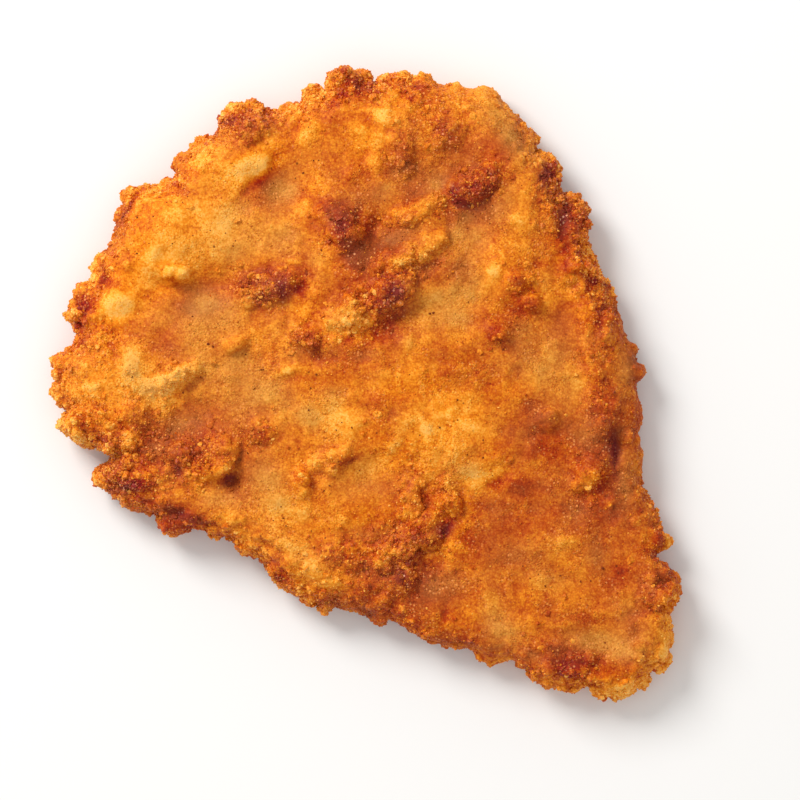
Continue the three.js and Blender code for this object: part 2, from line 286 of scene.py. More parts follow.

# %% [markdown]
# Between the crags, batter lies in folds, bubbles, dents and creases a few millimetres wide. Noise would
# lay them anywhere, so each has a place of its own, which also says how it changes the browning. That
# browning holds painted shade in many dents and creases, and painted light on many lit bumps.

# %% Small forms
# Small forms: x, y, reach along, reach across, turn in degrees, rise in tenths of a millimetre, and in
# percent how much browner (over 0) or yellower (under 0), and, unless it is 0, how much paler. Browner
# often paints the shade in a dent or under a flap, and yellower the light on a bump.
FORMS = [
    # upper left
    (-48, 40.8, 5, 1.3, 42, 7, -5), (-51.7, 38.6, 4, 0.7, 60, -10, 35), (-53, 37.6, 5, 1.1, 62, 7, 20),
    (-41, 42.8, 3.5, 1.2, -15, 5, 18), (-44, 32, 4, 4, 0, 5, -12), (-37, 49, 3, 2, 20, 6, -15),
    (-40, 38, 4, 3, 20, 5, -10), (-47, 28, 2.5, 5, 0, 5, -10), (-37, 34, 2, 3, 30, -6, 12),
    (-31, 37, 3, 2.4, 0, 4, -10, 10), (-33, 52, 2.5, 2, 20, 5, -10), (-25, 48.2, 4.5, 2.4, 18, 8, -25),
    (-24, 45.6, 4, 1.3, 18, 2, 6), (-24.5, 42.8, 4.5, 1.1, 38, -7, 22), (-20, 48.5, 1, 2.2, -10, -6, 22),
    (-18, 43, 3.5, 4.5, 10, -8, 12, 40), (-16, 42, 1.6, 1.6, 0, 0, -5, 40), (-25.5, 56, 2.6, 2, 0, 8, 15),
    (-27.5, 59, 3.2, 2.2, 25, 6, 28), (-29.7, 57.5, 1.2, 1.2, 0, -3, 30), (-24.3, 55, 1, 2, 0, -5, 20),
    (-20, 56, 3, 2, -15, 4, 10), (-16, 59.5, 3, 1.8, 10, 4, -15), (-12.5, 54.7, 1.8, 2.8, -25, 7, -25),
    (-17, 53, 2, 2, 0, -4, 12), (-13.5, 38.5, 2.2, 1.6, 20, 4, -15), (-20, 34, 2.5, 1.6, 10, 3, -12),
    (-27.5, 38, 2.5, 2.5, 0, -5, 5, 30), (-17, 33, 3, 2, 0, -2, 0, 40), (-30, 29, 5, 2.5, 10, 3, -5, 30),
    (-35, 28, 2, 3, 0, -3, 8), (-42.5, 24.4, 4, 1, -15, 5, -2), (-43, 22, 4, 1.2, -15, -9, 30),
    (-37, 21, 5, 2.4, 5, -6, 15), (-44, 18, 3, 2, 20, 6, 2, 10), (-35, 18, 2.5, 2, 0, 3, 0, 40),
    # left
    (-54.8, 18.2, 3.2, 2.8, -10, 8, -36), (-51, 18, 1.6, 1.6, 0, 3, -8), (-55.5, 22.3, 1, 1, 0, 2, 5),
    (-57.8, 25.5, 1.8, 2.4, 0, 6, 17), (-57.8, 22.6, 1.6, 1, 20, -2, 28), (-53, 26, 2.5, 3, 0, 3, -3),
    (-56, 12, 3, 1.6, 20, 3, 12), (-48.5, 12.5, 4, 1.8, 0, 3, 12), (-44, 8.5, 3.5, 2.4, -20, -5, 15),
    (-52, 8, 3, 1.4, 0, 3, 0, 10), (-51.5, 5, 1.8, 2.6, 0, 8, -24, 25), (-47, 0, 2.4, 1.6, 0, 7, -28, 10),
    (-40.5, 2.4, 4.5, 1.2, 28, 10, -14), (-38.5, -0.4, 4, 1.2, 28, -8, 20), (-63, 3, 3, 2, 0, 4, -5),
    (-60, -1, 3, 2, 0, 4, -10), (-64, 0, 1.5, 3, 0, -4, 12), (-67, 0, 1.2, 3, 0, 3, 20),
    (-62, 18, 1.6, 2.4, 10, 4, 40), (-62.5, 13.4, 1.6, 1.8, 0, 4, 40), (-60.5, 16, 1, 2, 0, -6, 25),
    (-60, 20.5, 2, 1, 30, 3, 12), (-61.5, 9.3, 1.6, 1.4, 0, 5, 14), (-58, 6, 2, 1.6, 0, 5, 0),
    (-55, 7.5, 1, 1.8, 0, -4, 10),
    # lower left
    (-55.5, -7, 2.4, 3, 0, 4, -14), (-62, -8.6, 1, 2, 0, -7, 28), (-60, -6.5, 2, 1.8, 0, 5, 10),
    (-60, -10.5, 2.4, 1.6, 0, 5, 20), (-64.5, -9, 2, 2, 0, 3, 18), (-50, -6.2, 1.8, 2.2, 0, 10, 10),
    (-50, -9.6, 2, 1, 0, -5, 30), (-47.3, -8.5, 1.4, 2.4, 0, -8, 28), (-44, -4, 1.8, 3.4, -10, 3, -8, 15),
    (-42, -9, 3, 3, 0, -5, 15, 10), (-38, -3, 1.6, 3, 0, -4, 12), (-51.5, -12.2, 1.4, 1, 30, 5, -18),
    (-54.5, -13.2, 2.2, 1.6, 20, 6, 10), (-57.5, -12.5, 1.4, 1.2, 0, -9, 40),
    (-48.5, -14, 2.5, 1.8, 0, -5, 28), (-42, -15.8, 2.6, 1.2, 15, 8, 4), (-37, -14.5, 1.4, 2.2, -20, -7, 25),
    (-40.8, -18.4, 1, 1.6, 15, -10, 40), (-38.5, -20, 1.2, 2.4, 40, 6, 0), (-35.5, -17.5, 1.2, 3, -35, 6, 5),
    (-31.5, -13.5, 2.6, 2, 30, 8, 5), (-31, -18, 2.2, 1.6, 25, 8, 8), (-32.5, -19.5, 1.4, 1, 20, 6, -8),
    (-27.4, -15.5, 0.9, 3.4, -12, -14, 22, 10), (-29.6, -21.3, 1.8, 1.3, 15, -18, 50),
    (-33, -22.3, 2.2, 1.2, 0, -5, 10), (-44.5, -22, 2.4, 2, 0, 3, -8, 10), (-41.3, -24, 2, 1.6, 0, 4, -10),
    (-50.5, -21.8, 3.4, 1.2, 8, -6, 40), (-54.5, -21, 2.2, 1.6, 0, 5, 12), (-52, -18, 2, 1.2, -10, 6, 8),
    (-48, -17, 2, 1, 20, 5, 5), (-47.5, -26, 2.2, 1.2, -35, -4, 30), (-50, -25.6, 2, 1.4, 0, 3, 20),
    (-41.5, -28.2, 2.8, 1.1, -15, -24, 60), (-36.5, -29.9, 3.4, 0.8, -22, -16, 45),
    (-43, -31, 1.6, 1.2, 0, 2, 15), (-32.5, -28, 3, 2.4, 0, 3, -8),
    # left of the middle
    (-26.6, 22.6, 1.4, 1.6, 0, 6, 42), (-22.5, 22.2, 1.8, 1.4, 0, 7, 4), (-22.5, 18.5, 2.4, 1.6, 10, 4, 30),
    (-17.6, 21, 2.2, 2.2, 0, 8, 40), (-16.5, 24, 2, 1, 10, 4, 20), (-13.6, 21.5, 1.3, 2.6, -15, -9, 32),
    (-24, 24.8, 3.5, 1, 10, 0, 18), (-27.5, 17.8, 2.4, 1.3, 20, 5, -5, 20), (-10, 19.3, 2.2, 2, 0, 5, 6),
    (-14, 16, 2.4, 1.8, 20, 2, -14), (-16, 27, 1.4, 0.9, 0, 4, -18), (-10.5, 27.5, 2.4, 1.6, -20, 3, -8, 30),
    (-9, 23.5, 2, 2, 0, 3, 5, 10), (-14.6, 10.4, 1.8, 1.4, 10, 7, 25), (-11.8, 9.6, 1.6, 1.8, -20, 2, 35),
    (-10.6, 6.6, 1.2, 1.2, 0, -3, 28), (-15, 7.5, 2, 1, 10, -4, 10, 20),
    (-5.5, 14.5, 3.6, 2.6, 30, 5, -14, 10), (-8, 10, 2, 1.6, 20, 5, 0), (-3, 17.8, 1.4, 1.2, 0, 5, -10, 10),
    (-3.4, 10, 2.4, 0.8, 35, -8, 20), (-6, 8, 2.4, 1, 10, 2, 12), (-8, 6, 3, 1.4, 10, -5, 15),
    (-28.5, 8.6, 2.4, 1.1, 20, 8, 10), (-28, 5.4, 3.5, 1.8, 15, -6, 5, 30), (-33, 9, 1, 1, 0, -2, 15),
    (-20, 5, 1.4, 1.6, 0, 3, 8), (-16.5, 2.5, 3.4, 1, 14, 8, -16), (-14.5, 1.2, 2.6, 0.8, 10, -2, 12),
    (-21, -2.2, 1.6, 1.8, 30, 4, -14, 30), (-30, 1.5, 1.4, 0.8, 0, 3, -5, 30), (-35, 5, 2, 3, 0, 2, 0, 20),
    # the middle
    (3, 25.7, 2, 1.8, 0, 7, 12), (6.3, 22.6, 1.8, 1.6, 0, 6, 25), (7.2, 19.6, 1.8, 1.6, 0, 5, 38),
    (4, 17.5, 1.6, 1.6, 0, 4, 30), (0.5, 20.5, 2, 1.4, 0, 6, 2), (0, 17, 2.4, 1.2, 20, 3, 20),
    (6, 14.5, 4, 1.5, 28, -9, 32), (3.5, 11.5, 3, 1.6, 25, -5, 20), (-1, 13, 1.6, 1, 40, 4, 2),
    (8, 26.6, 2, 0.8, 10, 3, -20), (12.5, 24, 3, 1.6, 25, -8, 14, 20), (14, 26.3, 3.4, 0.9, 22, -6, 25),
    (21.5, 25.8, 2, 2, 0, -7, 10, 20), (19.7, 21, 1, 2.4, -20, 4, 0, 40), (22.5, 20, 1.6, 1.6, 0, 4, 0, 40),
    (15, 19, 2.5, 1.4, 20, 2, 0, 40), (21, 14, 3, 2, 0, -5, 0, 50), (12.5, 14, 1.8, 2, 0, 4, -14),
    (9.3, 9, 1.4, 1.6, 0, 6, -12, 30), (13, 9.5, 1.6, 0.8, 20, 3, -2), (16.8, 7, 2, 2, 0, 5, 16),
    (21.8, 8, 1.6, 1, 0, 3, 8, 10), (18.5, 2.3, 2.4, 1, 5, 5, 24), (25.5, 15.5, 1.8, 1.6, 0, 3, 12),
    (28, 12, 2, 1.6, -15, 7, 28), (30, 9.6, 2.4, 0.7, -10, -10, 38), (30.5, 7.6, 0.8, 0.8, 0, -3, 30),
    (2, 6.5, 1.8, 1.6, 0, 2, 0, 30), (-1.5, 5.8, 2, 1, 0, -3, 8, 20), (5, 5, 2, 1.4, 0, 3, 12),
    (26, 3.5, 3, 3, 0, 0, 8), (3, 2.5, 2.5, 1.4, 0, 4, -5, 20), (10, 2.5, 3, 2.4, 0, 3, -10),
    # along the top
    (-3.2, 67.3, 2.2, 1.6, -30, 3, 34), (-6, 65.5, 2, 2.4, 10, 3, 2), (-5.5, 61.7, 2, 1.4, 0, -4, 24),
    (-1.6, 63.5, 1.8, 2, 0, 4, 10), (0.7, 65.3, 1, 1.2, 0, -8, 38), (7.5, 66.5, 2, 1.6, 0, 3, 12),
    (12.3, 65.5, 1.8, 1.2, 0, 3, 22), (-11.4, 64, 1.4, 1.4, 0, 3, 12), (4, 58.8, 1.6, 1.4, 0, 6, -28),
    (6.5, 62, 2, 1.2, 10, 4, -15), (3.5, 53.8, 1.6, 1.8, 0, 4, -20), (-2, 56, 2.4, 1.4, 0, 4, -14),
    (0.5, 57, 1, 1.6, 0, -3, 12), (7.5, 53, 1.4, 2.4, -10, 6, 15), (8.5, 49, 1.6, 1.6, 0, 4, 25),
    (9.5, 47, 2, 0.8, 10, -6, 30), (11.8, 53, 1.6, 1.4, 0, 3, -5, 20), (15, 52, 2.4, 1.6, 20, 5, 0, 15),
    (17, 56.3, 1.6, 1.4, 0, 5, 16), (19.3, 53, 1.2, 1.4, 0, 4, 16), (10.5, 57.5, 1.8, 1.8, 0, -3, 12),
    (24, 51.5, 2.4, 1.8, 30, 3, 10), (20, 47.5, 2, 1.2, 0, -4, 16), (16, 44.3, 2.8, 2, 20, -4, 5, 30),
    (15.5, 43.5, 1.2, 1, 0, 1, -5, 40), (22, 44.2, 1.6, 1.4, 20, 6, 12), (24.5, 42.8, 1.6, 1.6, 0, 6, 32),
    (27, 46.5, 1.4, 2, 0, 6, 32), (26.7, 42, 1.3, 2.8, -20, -10, 42), (19.5, 42, 1, 1.6, -10, -7, 42),
    (21.5, 39.6, 2, 0.8, -10, -8, 42), (19.5, 38.4, 1, 0.8, 0, 5, -14), (34, 36, 2, 2.4, 0, 5, -14),
    (35, 42, 1.6, 2.4, 0, 4, -12), (22, 36.5, 2, 1.6, 0, -4, 5, 30), (20, 33.3, 1.8, 2, 0, 1, 0, 50),
    (24, 33, 1.4, 2, 0, 3, 0, 20), (4, 33, 1.6, 1.4, 0, 4, 2, 10), (9.5, 38.2, 3.6, 0.8, 22, 8, -15),
    (8, 35.5, 2, 1.4, 10, 3, 5), (14.3, 36, 2, 1.6, 10, 4, 0), (10, 33.8, 2.4, 1, 15, -7, 15, 20),
    (14.5, 31.5, 2.6, 1.4, 20, 6, -2), (18.3, 34.5, 0.8, 3.2, -5, -10, 20, 10),
    (1.2, 34, 1.6, 3, 0, -10, 25), (2, 48, 1.6, 3.4, 0, 5, -16), (4.4, 43.2, 2, 1, 10, 3, 0, 30),
    (6.5, 46, 1.2, 1.4, 0, -4, 5, 20), (-3, 45, 1.6, 1.6, 0, 5, 14), (-7, 46, 2, 1.4, 0, -2, 6, 10),
    (-8.5, 33.5, 2, 1.2, 10, 6, 2), (-5.6, 32, 0.8, 1.4, -10, 3, -12), (-7, 38.5, 2.4, 1.8, -30, 6, 20),
    (-4, 36, 1.6, 2.6, -10, 4, 32), (-1.5, 37.5, 1.2, 3, -10, -6, 35), (-4, 30.8, 1.6, 1.4, 0, -4, 48),
    (-2, 27, 1.6, 2, 0, 3, 30), (25.5, 62, 2.6, 1.8, -20, 4, -16), (28.5, 59, 1.8, 1.4, 0, 2, -5, 25),
    (31.3, 55.5, 2, 2.4, 0, -3, 0, 30), (33.5, 49, 1.4, 1.6, 0, 3, -10, 10), (27, 52, 2.4, 2.4, 0, 3, 10),
    (15, 62, 3, 1.6, 0, 3, 5), (20, 61, 2.4, 1.6, 0, 3, -8), (0, 50, 1.4, 1.4, 0, -3, 8),
    (-8.5, 58, 2, 1.4, 0, 3, 8), (-8, 53, 1.6, 2, 0, 3, -8),
    # right side
    (38.7, 49.3, 1.6, 1.2, 0, 5, -12), (41.3, 46.8, 1.1, 2, 10, 2, 30), (39.3, 45.3, 1.2, 2.4, -30, -16, 50),
    (45.3, 40.5, 1.5, 1.3, 0, 4, 2), (47.3, 38.6, 1.3, 1.2, 0, 3, 2), (46.6, 35.4, 1.3, 1.3, 0, 3, 20),
    (48.7, 34.3, 0.9, 1, 0, 2, 20), (46, 31, 1.4, 1.4, 0, 5, 0, 10), (44.1, 37.8, 0.9, 2.6, 5, -18, 50),
    (43, 33, 1.1, 1.6, 0, -4, 24), (43.5, 29.5, 1, 1.2, 0, -3, 24), (38.5, 41, 1.8, 1.6, 0, 5, 2),
    (41, 37.5, 1, 1, 0, 4, 22), (41, 34.3, 1.8, 1.8, 0, 6, 3), (36.5, 34.5, 1, 1, 0, 3, -5),
    (39.5, 29, 2.6, 2, 0, 3, 0, 15), (37, 26, 1.4, 1.4, 0, -4, 15), (44, 22.7, 1.4, 1.2, 0, 5, -8),
    (46.8, 26, 1.6, 1.6, 0, 5, 8), (43.8, 25.5, 1.2, 1.4, 0, 3, 15), (49.5, 22.5, 1.2, 1.6, 0, -5, 34),
    (52.6, 21.5, 1.6, 2.4, 15, 1, 18), (51.3, 13, 0.8, 3.4, 5, -9, 26), (53.2, 12, 1.2, 1.4, 0, 5, 0),
    (55, 10, 1.1, 2, 0, 5, 2), (43, 15, 2.6, 3.4, 0, -4, 10, 10), (39, 22.5, 2, 2.2, 0, 3, -5, 30),
    (28, 25.5, 1.6, 2, 0, 5, -20), (26.6, 21.7, 1.4, 1.2, 0, 3, -16), (33, 22.5, 1.3, 1.2, 0, 9, 32),
    (37, 17.5, 1.8, 1.6, 0, 7, 28), (30, 19, 1.6, 2, 0, 3, 12), (35, 13, 1.6, 1.6, 0, 1, 5, 20),
    (36.2, 6, 1.6, 1.4, 0, -3, 12, 10), (41, 7, 2, 3, 0, 4, -10, 20), (44, 2.5, 2, 2.4, 0, 3, -12, 10),
    (38, 3, 1.4, 1.8, 0, 2, 0, 30), (48.6, 8, 1, 6, 8, 7, -10), (50.5, 2.5, 1.4, 2, 0, 3, 5),
    (57, 2, 1.8, 2.4, 0, 1, 3, 10), (54, -3, 1.4, 2.4, 0, 3, 12), (51, -5, 1.8, 1, 10, 5, 8),
    (35.8, -4.6, 1.4, 1.4, 0, -5, 22), (39.5, -7.3, 1.8, 1.6, 0, 6, 12), (32, -10, 1, 1.2, 0, -3, 20),
    (37, -14.5, 1.4, 1.8, 0, 5, 20), (40.5, -14.3, 1.6, 1, 0, -4, 12), (46.5, -14.5, 1.6, 1.2, 0, 5, 2),
    (51.5, -9.3, 1.4, 1.8, 30, 7, 2), (50.5, -12, 1.4, 1, 0, 2, 15), (54.8, -14.5, 0.9, 3, 3, -15, 50),
    (52.8, -16.3, 0.9, 1.4, 10, 8, -5), (49, -20.3, 2.2, 1.6, 35, 9, -5, 10), (51, -23, 2, 0.9, 30, -10, 38),
    (46.5, -22.8, 1.6, 0.8, 0, 4, 5), (53.4, -26, 0.8, 1.4, -20, 6, -18), (53.8, -28.5, 1.6, 2, -30, -6, 25),
    (57.8, -11, 1.6, 1.6, 0, 3, 8), (58, -15.5, 1.6, 1.2, 0, 3, -2, 10), (57.5, -21, 2, 3.4, 0, 1, 2, 15),
    (59, -26, 1.8, 1, 20, 4, 0), (55, -30, 1.2, 1.6, 0, 4, 5), (47.3, -31.4, 1, 1, 0, 4, 5),
    (36, -17, 2.4, 1.2, 15, 3, 2), (33.5, -22, 2.2, 1.6, -10, 5, 22), (30, -20.6, 3.6, 0.9, 27, -7, 24),
    (27, -27, 2.4, 1.6, 0, -2, 15), (32, -26.5, 2, 1, 10, 4, 8), (38, -27, 2.4, 2, 0, -3, 5, 15),
    (44, -27, 2.4, 2.4, 0, 1, 8), (23, -18.5, 2.6, 1.2, 10, 3, -10, 50), (24, -22.5, 2, 1.6, 0, 3, -18),
    (29, -16.5, 3, 1.4, 20, 3, -2),
    # below the middle
    (-12, -7, 2.6, 2.4, 0, 2, -5, 50), (-7, -4, 2.4, 1.8, 0, 2, -2, 35), (-5, -9.5, 2.4, 3.4, 0, 5, -14),
    (-10.5, -10.3, 1.2, 0.8, 0, 1, 5), (-17.5, -7, 2.4, 1.2, 20, 3, -14), (-23.5, -10.4, 2.2, 1.6, 0, 7, 24),
    (-21, -12.8, 3.5, 1, 10, -4, 15), (-26, -8, 2.4, 1, 25, 4, 0), (-15, -13, 3, 2, 10, 0, 4, 10),
    (-11, -17.3, 1.6, 1.6, 0, 8, -16, 10), (-7, -16.3, 1.4, 1.4, 30, 5, 5),
    (-3.2, -16.4, 2.8, 1.1, 14, -9, 32), (-9, -19.5, 3, 0.9, -10, -6, 16), (-14, -20, 1.6, 2, 0, 9, 12),
    (-11.3, -22, 0.9, 2, -10, -9, 16), (-20, -20.5, 3, 2.4, 0, 1, 0, 25),
    (-19.5, -25.5, 2.6, 2, 0, 4, -10, 25), (-13.5, -28.3, 1.8, 1.8, 0, 4, -8, 30),
    (-12.5, -31.5, 2.4, 1.2, 0, 2, 10), (-25, -29, 3, 2, -30, 3, -5), (-17, -35, 4, 1.8, -35, 5, -14, 15),
    (-20.3, -31, 2, 1.2, -30, 2, -5, 20), (-10.8, -40.5, 3.6, 2.2, -30, 7, -20, 10),
    (-7.8, -34.5, 1.8, 1.8, 0, 6, 5), (-10, -36, 1.6, 1.2, -20, 4, 12), (-6.5, -38, 1.8, 1.6, 0, 4, 18),
    (-4.6, -34, 0.8, 2.8, -10, -8, 14), (-4.5, -38.7, 1.4, 1, 0, -4, 22), (-5, -30, 1.6, 1.6, 0, 3, 2),
    (0.5, -18, 2.6, 2, 0, -2, 0, 30), (-1, -26, 4, 2.4, 20, 3, 4), (0, -32, 4, 1.4, 5, -3, 12),
    (-19.5, -38.7, 2, 1.6, -40, 3, 20), (-18.7, -42.7, 1.2, 0.8, 0, -3, 36),
    (-16, -44.3, 1.6, 1.2, -20, 4, 20), (-6, -44, 3, 1.4, -20, 4, -5), (6, -13.5, 1, 2.8, -25, 5, -14, 15),
    (9, -15.5, 1.8, 2.4, 0, 5, 15), (6, -6.5, 1.1, 2.2, -30, -5, 20), (2, -4, 2.2, 1.4, 0, 4, 15),
    (3, -9, 1.6, 2, 0, 2, 8), (9, -8, 1.6, 1.4, 0, 4, -15), (13, -9.5, 1.8, 1.6, 0, 3, -15, 10),
    (22, -9.5, 2.4, 1.8, 10, 4, -18), (17, -6.5, 2.4, 1.4, 15, 2, -10), (15.5, -15.5, 3, 1.8, 10, 1, -6, 25),
    (21, -14.5, 3, 1.4, 10, 3, 6), (12, -19.5, 1.6, 1.6, 0, 5, 12), (10.8, -23.5, 1.2, 2.4, -5, 9, -5),
    (9.5, -28.7, 1.6, 1.6, -20, 8, -16), (13, -26, 1, 2.6, -8, -11, 16, 10),
    (18.7, -23.7, 1.3, 2.2, 10, 9, -8), (17, -26.7, 2, 1, 25, 5, 2), (20.9, -27, 0.9, 2.6, -5, -9, 22),
    (14.5, -28.8, 2, 0.8, 20, 4, 10), (17, -30.6, 2.4, 1, 25, -6, 30), (17.5, -32.2, 2, 1, 30, -8, 42),
    # the crags at the bottom
    (13, -31, 1.4, 1.4, 0, 5, 5), (9.8, -31.2, 1.2, 1, 0, 3, 10), (8.3, -33.5, 1.6, 1.2, 0, 5, 10),
    (12.5, -33.8, 1.6, 1.2, 0, 2, 28), (15, -34.6, 1.2, 1, 0, 4, 15), (5.3, -36.8, 1.8, 1.4, 10, 8, -16),
    (3, -39.2, 1.4, 0.9, 30, 7, -24), (8, -37.5, 1.2, 1, 0, 4, 3), (11, -38, 1.6, 2, 0, -6, 25, 10),
    (7.4, -41.7, 1.3, 1.4, 0, -8, 48), (10.6, -43.5, 1.6, 1, -10, -6, 38), (9.7, -41.4, 1.1, 1.2, 0, 5, -2),
    (4, -42, 2, 1.4, 0, 3, 15), (0, -40.5, 2, 1.6, 0, -5, 15, 15), (1.3, -44.2, 1, 0.7, 0, -6, 45),
    (2.5, -47.8, 1.3, 0.9, 0, 7, -15), (-0.8, -48.3, 1, 0.6, 0, 5, -12), (-3.8, -47, 1.4, 0.7, -25, 5, -10),
    (5.2, -47.2, 0.8, 1.2, 0, 4, -5), (1, -50.3, 2.4, 1.2, -15, -2, 25), (-7, -47.3, 1.8, 0.9, 0, -5, 38),
    (-9, -46.4, 2, 0.8, 10, 3, 3), (10.5, -47.5, 2, 1.6, 0, 3, 18), (15, -49.8, 2, 1.8, 0, 5, -4),
    (12.8, -54, 1.2, 0.8, 0, 4, -2), (17.5, -50.5, 1, 1.4, 0, -5, 22), (11, -51.5, 1, 1.2, 0, -3, 22),
    (19, -36.5, 2.4, 2.4, 0, 3, -14), (22.5, -34.5, 1.4, 1, -20, -4, 22), (14.5, -42, 2, 3.4, 0, -5, 12, 15),
    (20, -42.5, 3, 2, 20, -2, 5, 10), (26, -37.5, 2.4, 2, 0, 2, 12), (24, -50, 2.4, 2, 0, 4, -14),
    (20, -53.7, 3, 0.9, 0, 3, 3), (22, -56.3, 3.4, 1, -10, 1, 18),
    # the tail
    (27.5, -47.5, 1.6, 3.2, 10, 4, -18, 15), (31.5, -45.5, 2, 2.4, 0, 1, 12),
    (30, -53.5, 3, 1.4, -10, 2, -12, 30), (36, -51, 2.4, 2.4, 0, 1, 5), (40, -49, 1.8, 2.6, 0, -3, 18),
    (38.3, -43, 2.4, 1.6, 0, 4, -15, 10), (43.5, -34.5, 3.4, 1.8, 0, 5, -15, 5), (47, -40, 2, 2, 0, 2, -4),
    (36, -36.5, 1.8, 1.8, 0, 3, -10), (51, -36.5, 1.8, 3, 0, -3, 15), (55.5, -41, 1.6, 1.6, 0, -2, 26),
    (57, -36, 3, 2, 0, 2, 2), (48, -51.5, 1.6, 2.2, -20, -2, 15), (43, -50.5, 1.6, 3, 10, 3, -4),
    (52, -50, 3, 1.2, 10, 3, -8), (57.5, -47, 2, 2, 0, 3, -5), (55.8, -49.5, 1, 1.6, 0, 4, 3),
    (58.8, -53, 1.2, 1.2, 0, 3, 24), (60, -50.3, 3.4, 1, 5, -4, 15), (51, -57, 3, 1.6, -10, -4, 0, 40),
    (57, -59, 3.6, 1.2, 5, -2, -8, 40), (61.5, -54.5, 1.6, 2.6, -20, -2, 2, 25),
    (62.3, -58, 1.6, 2, -30, -3, 10), (65.3, -57, 1.1, 3.6, 5, 7, -18), (66.2, -51.3, 0.9, 1.2, 0, 4, -5),
    (63.5, -60.2, 2.4, 0.9, 15, 3, -10), (65, -61.3, 1.2, 1.2, 0, 2, 8), (60, -63.8, 1.4, 1, 0, 2, 16),
    (56, -66.5, 3, 1.2, 15, 4, -2), (53, -63.5, 2.4, 1.2, 0, -2, 5), (42, -57.8, 2, 1, 10, 3, 30),
    (44.5, -62, 3, 1.6, 10, 3, 30), (42.3, -61, 1.6, 1, 0, -5, 20), (46.8, -63.2, 1.4, 1, 0, 5, 8),
    (40, -62.5, 1.4, 1.6, 0, 5, -4), (48.5, -60.5, 2.4, 0.8, -5, -5, 28),
    (35.8, -59, 2.4, 1.2, -20, -3, 15, 10), (38.3, -58, 1, 1.2, 0, 4, -10), (28, -57.5, 2.6, 1, 0, 3, 5, 10),
    (31.5, -60.3, 1.2, 0.7, 0, 4, 3), (27.5, -60, 1.8, 1, -20, 1, 20), (65.8, -41.7, 1.4, 1.6, -40, -3, 30),
    (67.3, -44, 1.6, 1.4, -30, 3, 10, 10), (65.5, -46.3, 2.4, 1.2, -5, 6, -4),
    (61.3, -47.3, 2.2, 1.2, 10, 4, 0), (66.5, -46.5, 0.9, 0.8, 0, 2, -12), (63.8, -42.5, 0.8, 2, 0, -6, 22),
    (65, -34.3, 1.2, 1.6, 20, 3, 32), (66.3, -35, 0.6, 0.7, 0, 2, -18), (60.5, -40, 2.4, 2, 0, 2, -4),
    (62.3, -31.3, 1.6, 1.2, 0, 3, 0),
]

print(len(FORMS), "small forms")

# %% Knobs of the rim
# Round knobs of batter along the rim: x, y and height of the middle, radius.
RIM_KNOBS = np.array([
    # along the top
    (-4.2, 65.7, 8, 4), (-1.4, 65.6, 7, 3), (-11.3, 63.5, 7, 1.8), (7.5, 66.4, 7, 2.5), (12.6, 66, 6.5, 2),
    (20, 64.2, 6, 1.6), (36.5, 53.6, 7, 1.5),
    # top left
    (-27.5, 58.4, 8, 3), (-24.8, 59.6, 7.5, 2.3), (-29.6, 58, 7, 2.4), (-25.4, 55.6, 10, 2.8),
    (-40.6, 48.7, 7, 1.9), (-36, 51.8, 7, 2.2), (-51.6, 40, 7, 2.2), (-49, 42, 7, 1.8), (-53.6, 36, 7, 2),
    (-57.6, 26, 7, 2.3), (-57.6, 23.4, 8, 2.1),
    # left
    (-61.6, 19.3, 7, 2.3), (-62.4, 17, 6, 1.9), (-62.5, 13.4, 6.5, 2.1), (-65, 14.9, 6, 1),
    (-61.6, 10, 7, 1.9), (-68, 5, 5.5, 1.5), (-67.2, -1.6, 6, 1.8), (-65.8, -9, 6, 1.8),
    (-63.2, -10.4, 6.5, 2), (-60, -10.8, 8, 2.2), (-57.3, -20, 6, 2.2), (-58.8, -21, 5.5, 1.4),
    (-54, -23.3, 6, 2.3),
    # the long lower edge
    (-43, -30.7, 5, 2.3), (-40, -30.5, 4.5, 1.7), (-36.8, -30.8, 5, 1.6), (-33.5, -31.9, 5.5, 1.8),
    (-26.8, -36, 5.5, 1.8), (-19.4, -42, 6, 2), (-16.2, -44.5, 6, 1.8), (-12.3, -47.2, 5, 1.5),
    (-9, -48.3, 5, 1.9), (3.4, -51.3, 5, 1.8), (15, -55.3, 5, 1.6), (27.4, -59.8, 5, 2),
    (35, -60.8, 5.5, 1.8),
    # tail and right
    (40.4, -64.4, 5.5, 2.3), (45, -65.4, 5.5, 2.5), (55.3, -67.3, 5, 2.3), (60, -64.4, 5, 2),
    (65.4, -60.8, 5, 2), (67.4, -46, 5.5, 2.1), (65.3, -34.8, 6, 1.8), (60.1, 2.5, 6, 1.4),
    (58.6, 7, 6, 1.3), (38.7, 49.2, 7, 2), (41, 47.2, 6.5, 1.8), (45.4, 40.3, 7, 1.9),
    (47.2, 38.2, 6.5, 1.7), (47.3, 34.8, 7, 1.6),
])
print(len(RIM_KNOBS), "knobs along the rim")

# %% [markdown]
# ## A noise that repeats itself
# The crust's grain has to be uneven, and the same each run. Blender's own noise works one point at a time,
# so a noise for whole arrays is made here from whole-number arithmetic.

# %% A seeded noise
SEED = 7
CELL_PRIMES = np.array([73856093, 19349663, 83492791])  # one for each number of a cell
SEED_STEP = 2654435761
FIRST_MIX, SECOND_MIX = 2246822519, 3266489917
LOW_BITS, FEWER_BITS = 0xFFFFFFFF, 0xFFFFFF  # the lowest 32 and 24 bits of a number
random = np.random.default_rng(SEED)


def spot_hash(cell, seed):
    """A repeatable random number from 0 to 1 for each whole-number cell, by mixing its three numbers."""
    mixed = cell.astype(np.int64) * CELL_PRIMES
    mixed = (mixed[..., 0] ^ mixed[..., 1] ^ mixed[..., 2]) + seed * SEED_STEP
    mixed = (mixed ^ (mixed >> 15)) * FIRST_MIX & LOW_BITS
    mixed = (mixed ^ (mixed >> 13)) * SECOND_MIX & LOW_BITS
    return ((mixed ^ (mixed >> 16)) & FEWER_BITS) / float(FEWER_BITS + 1)


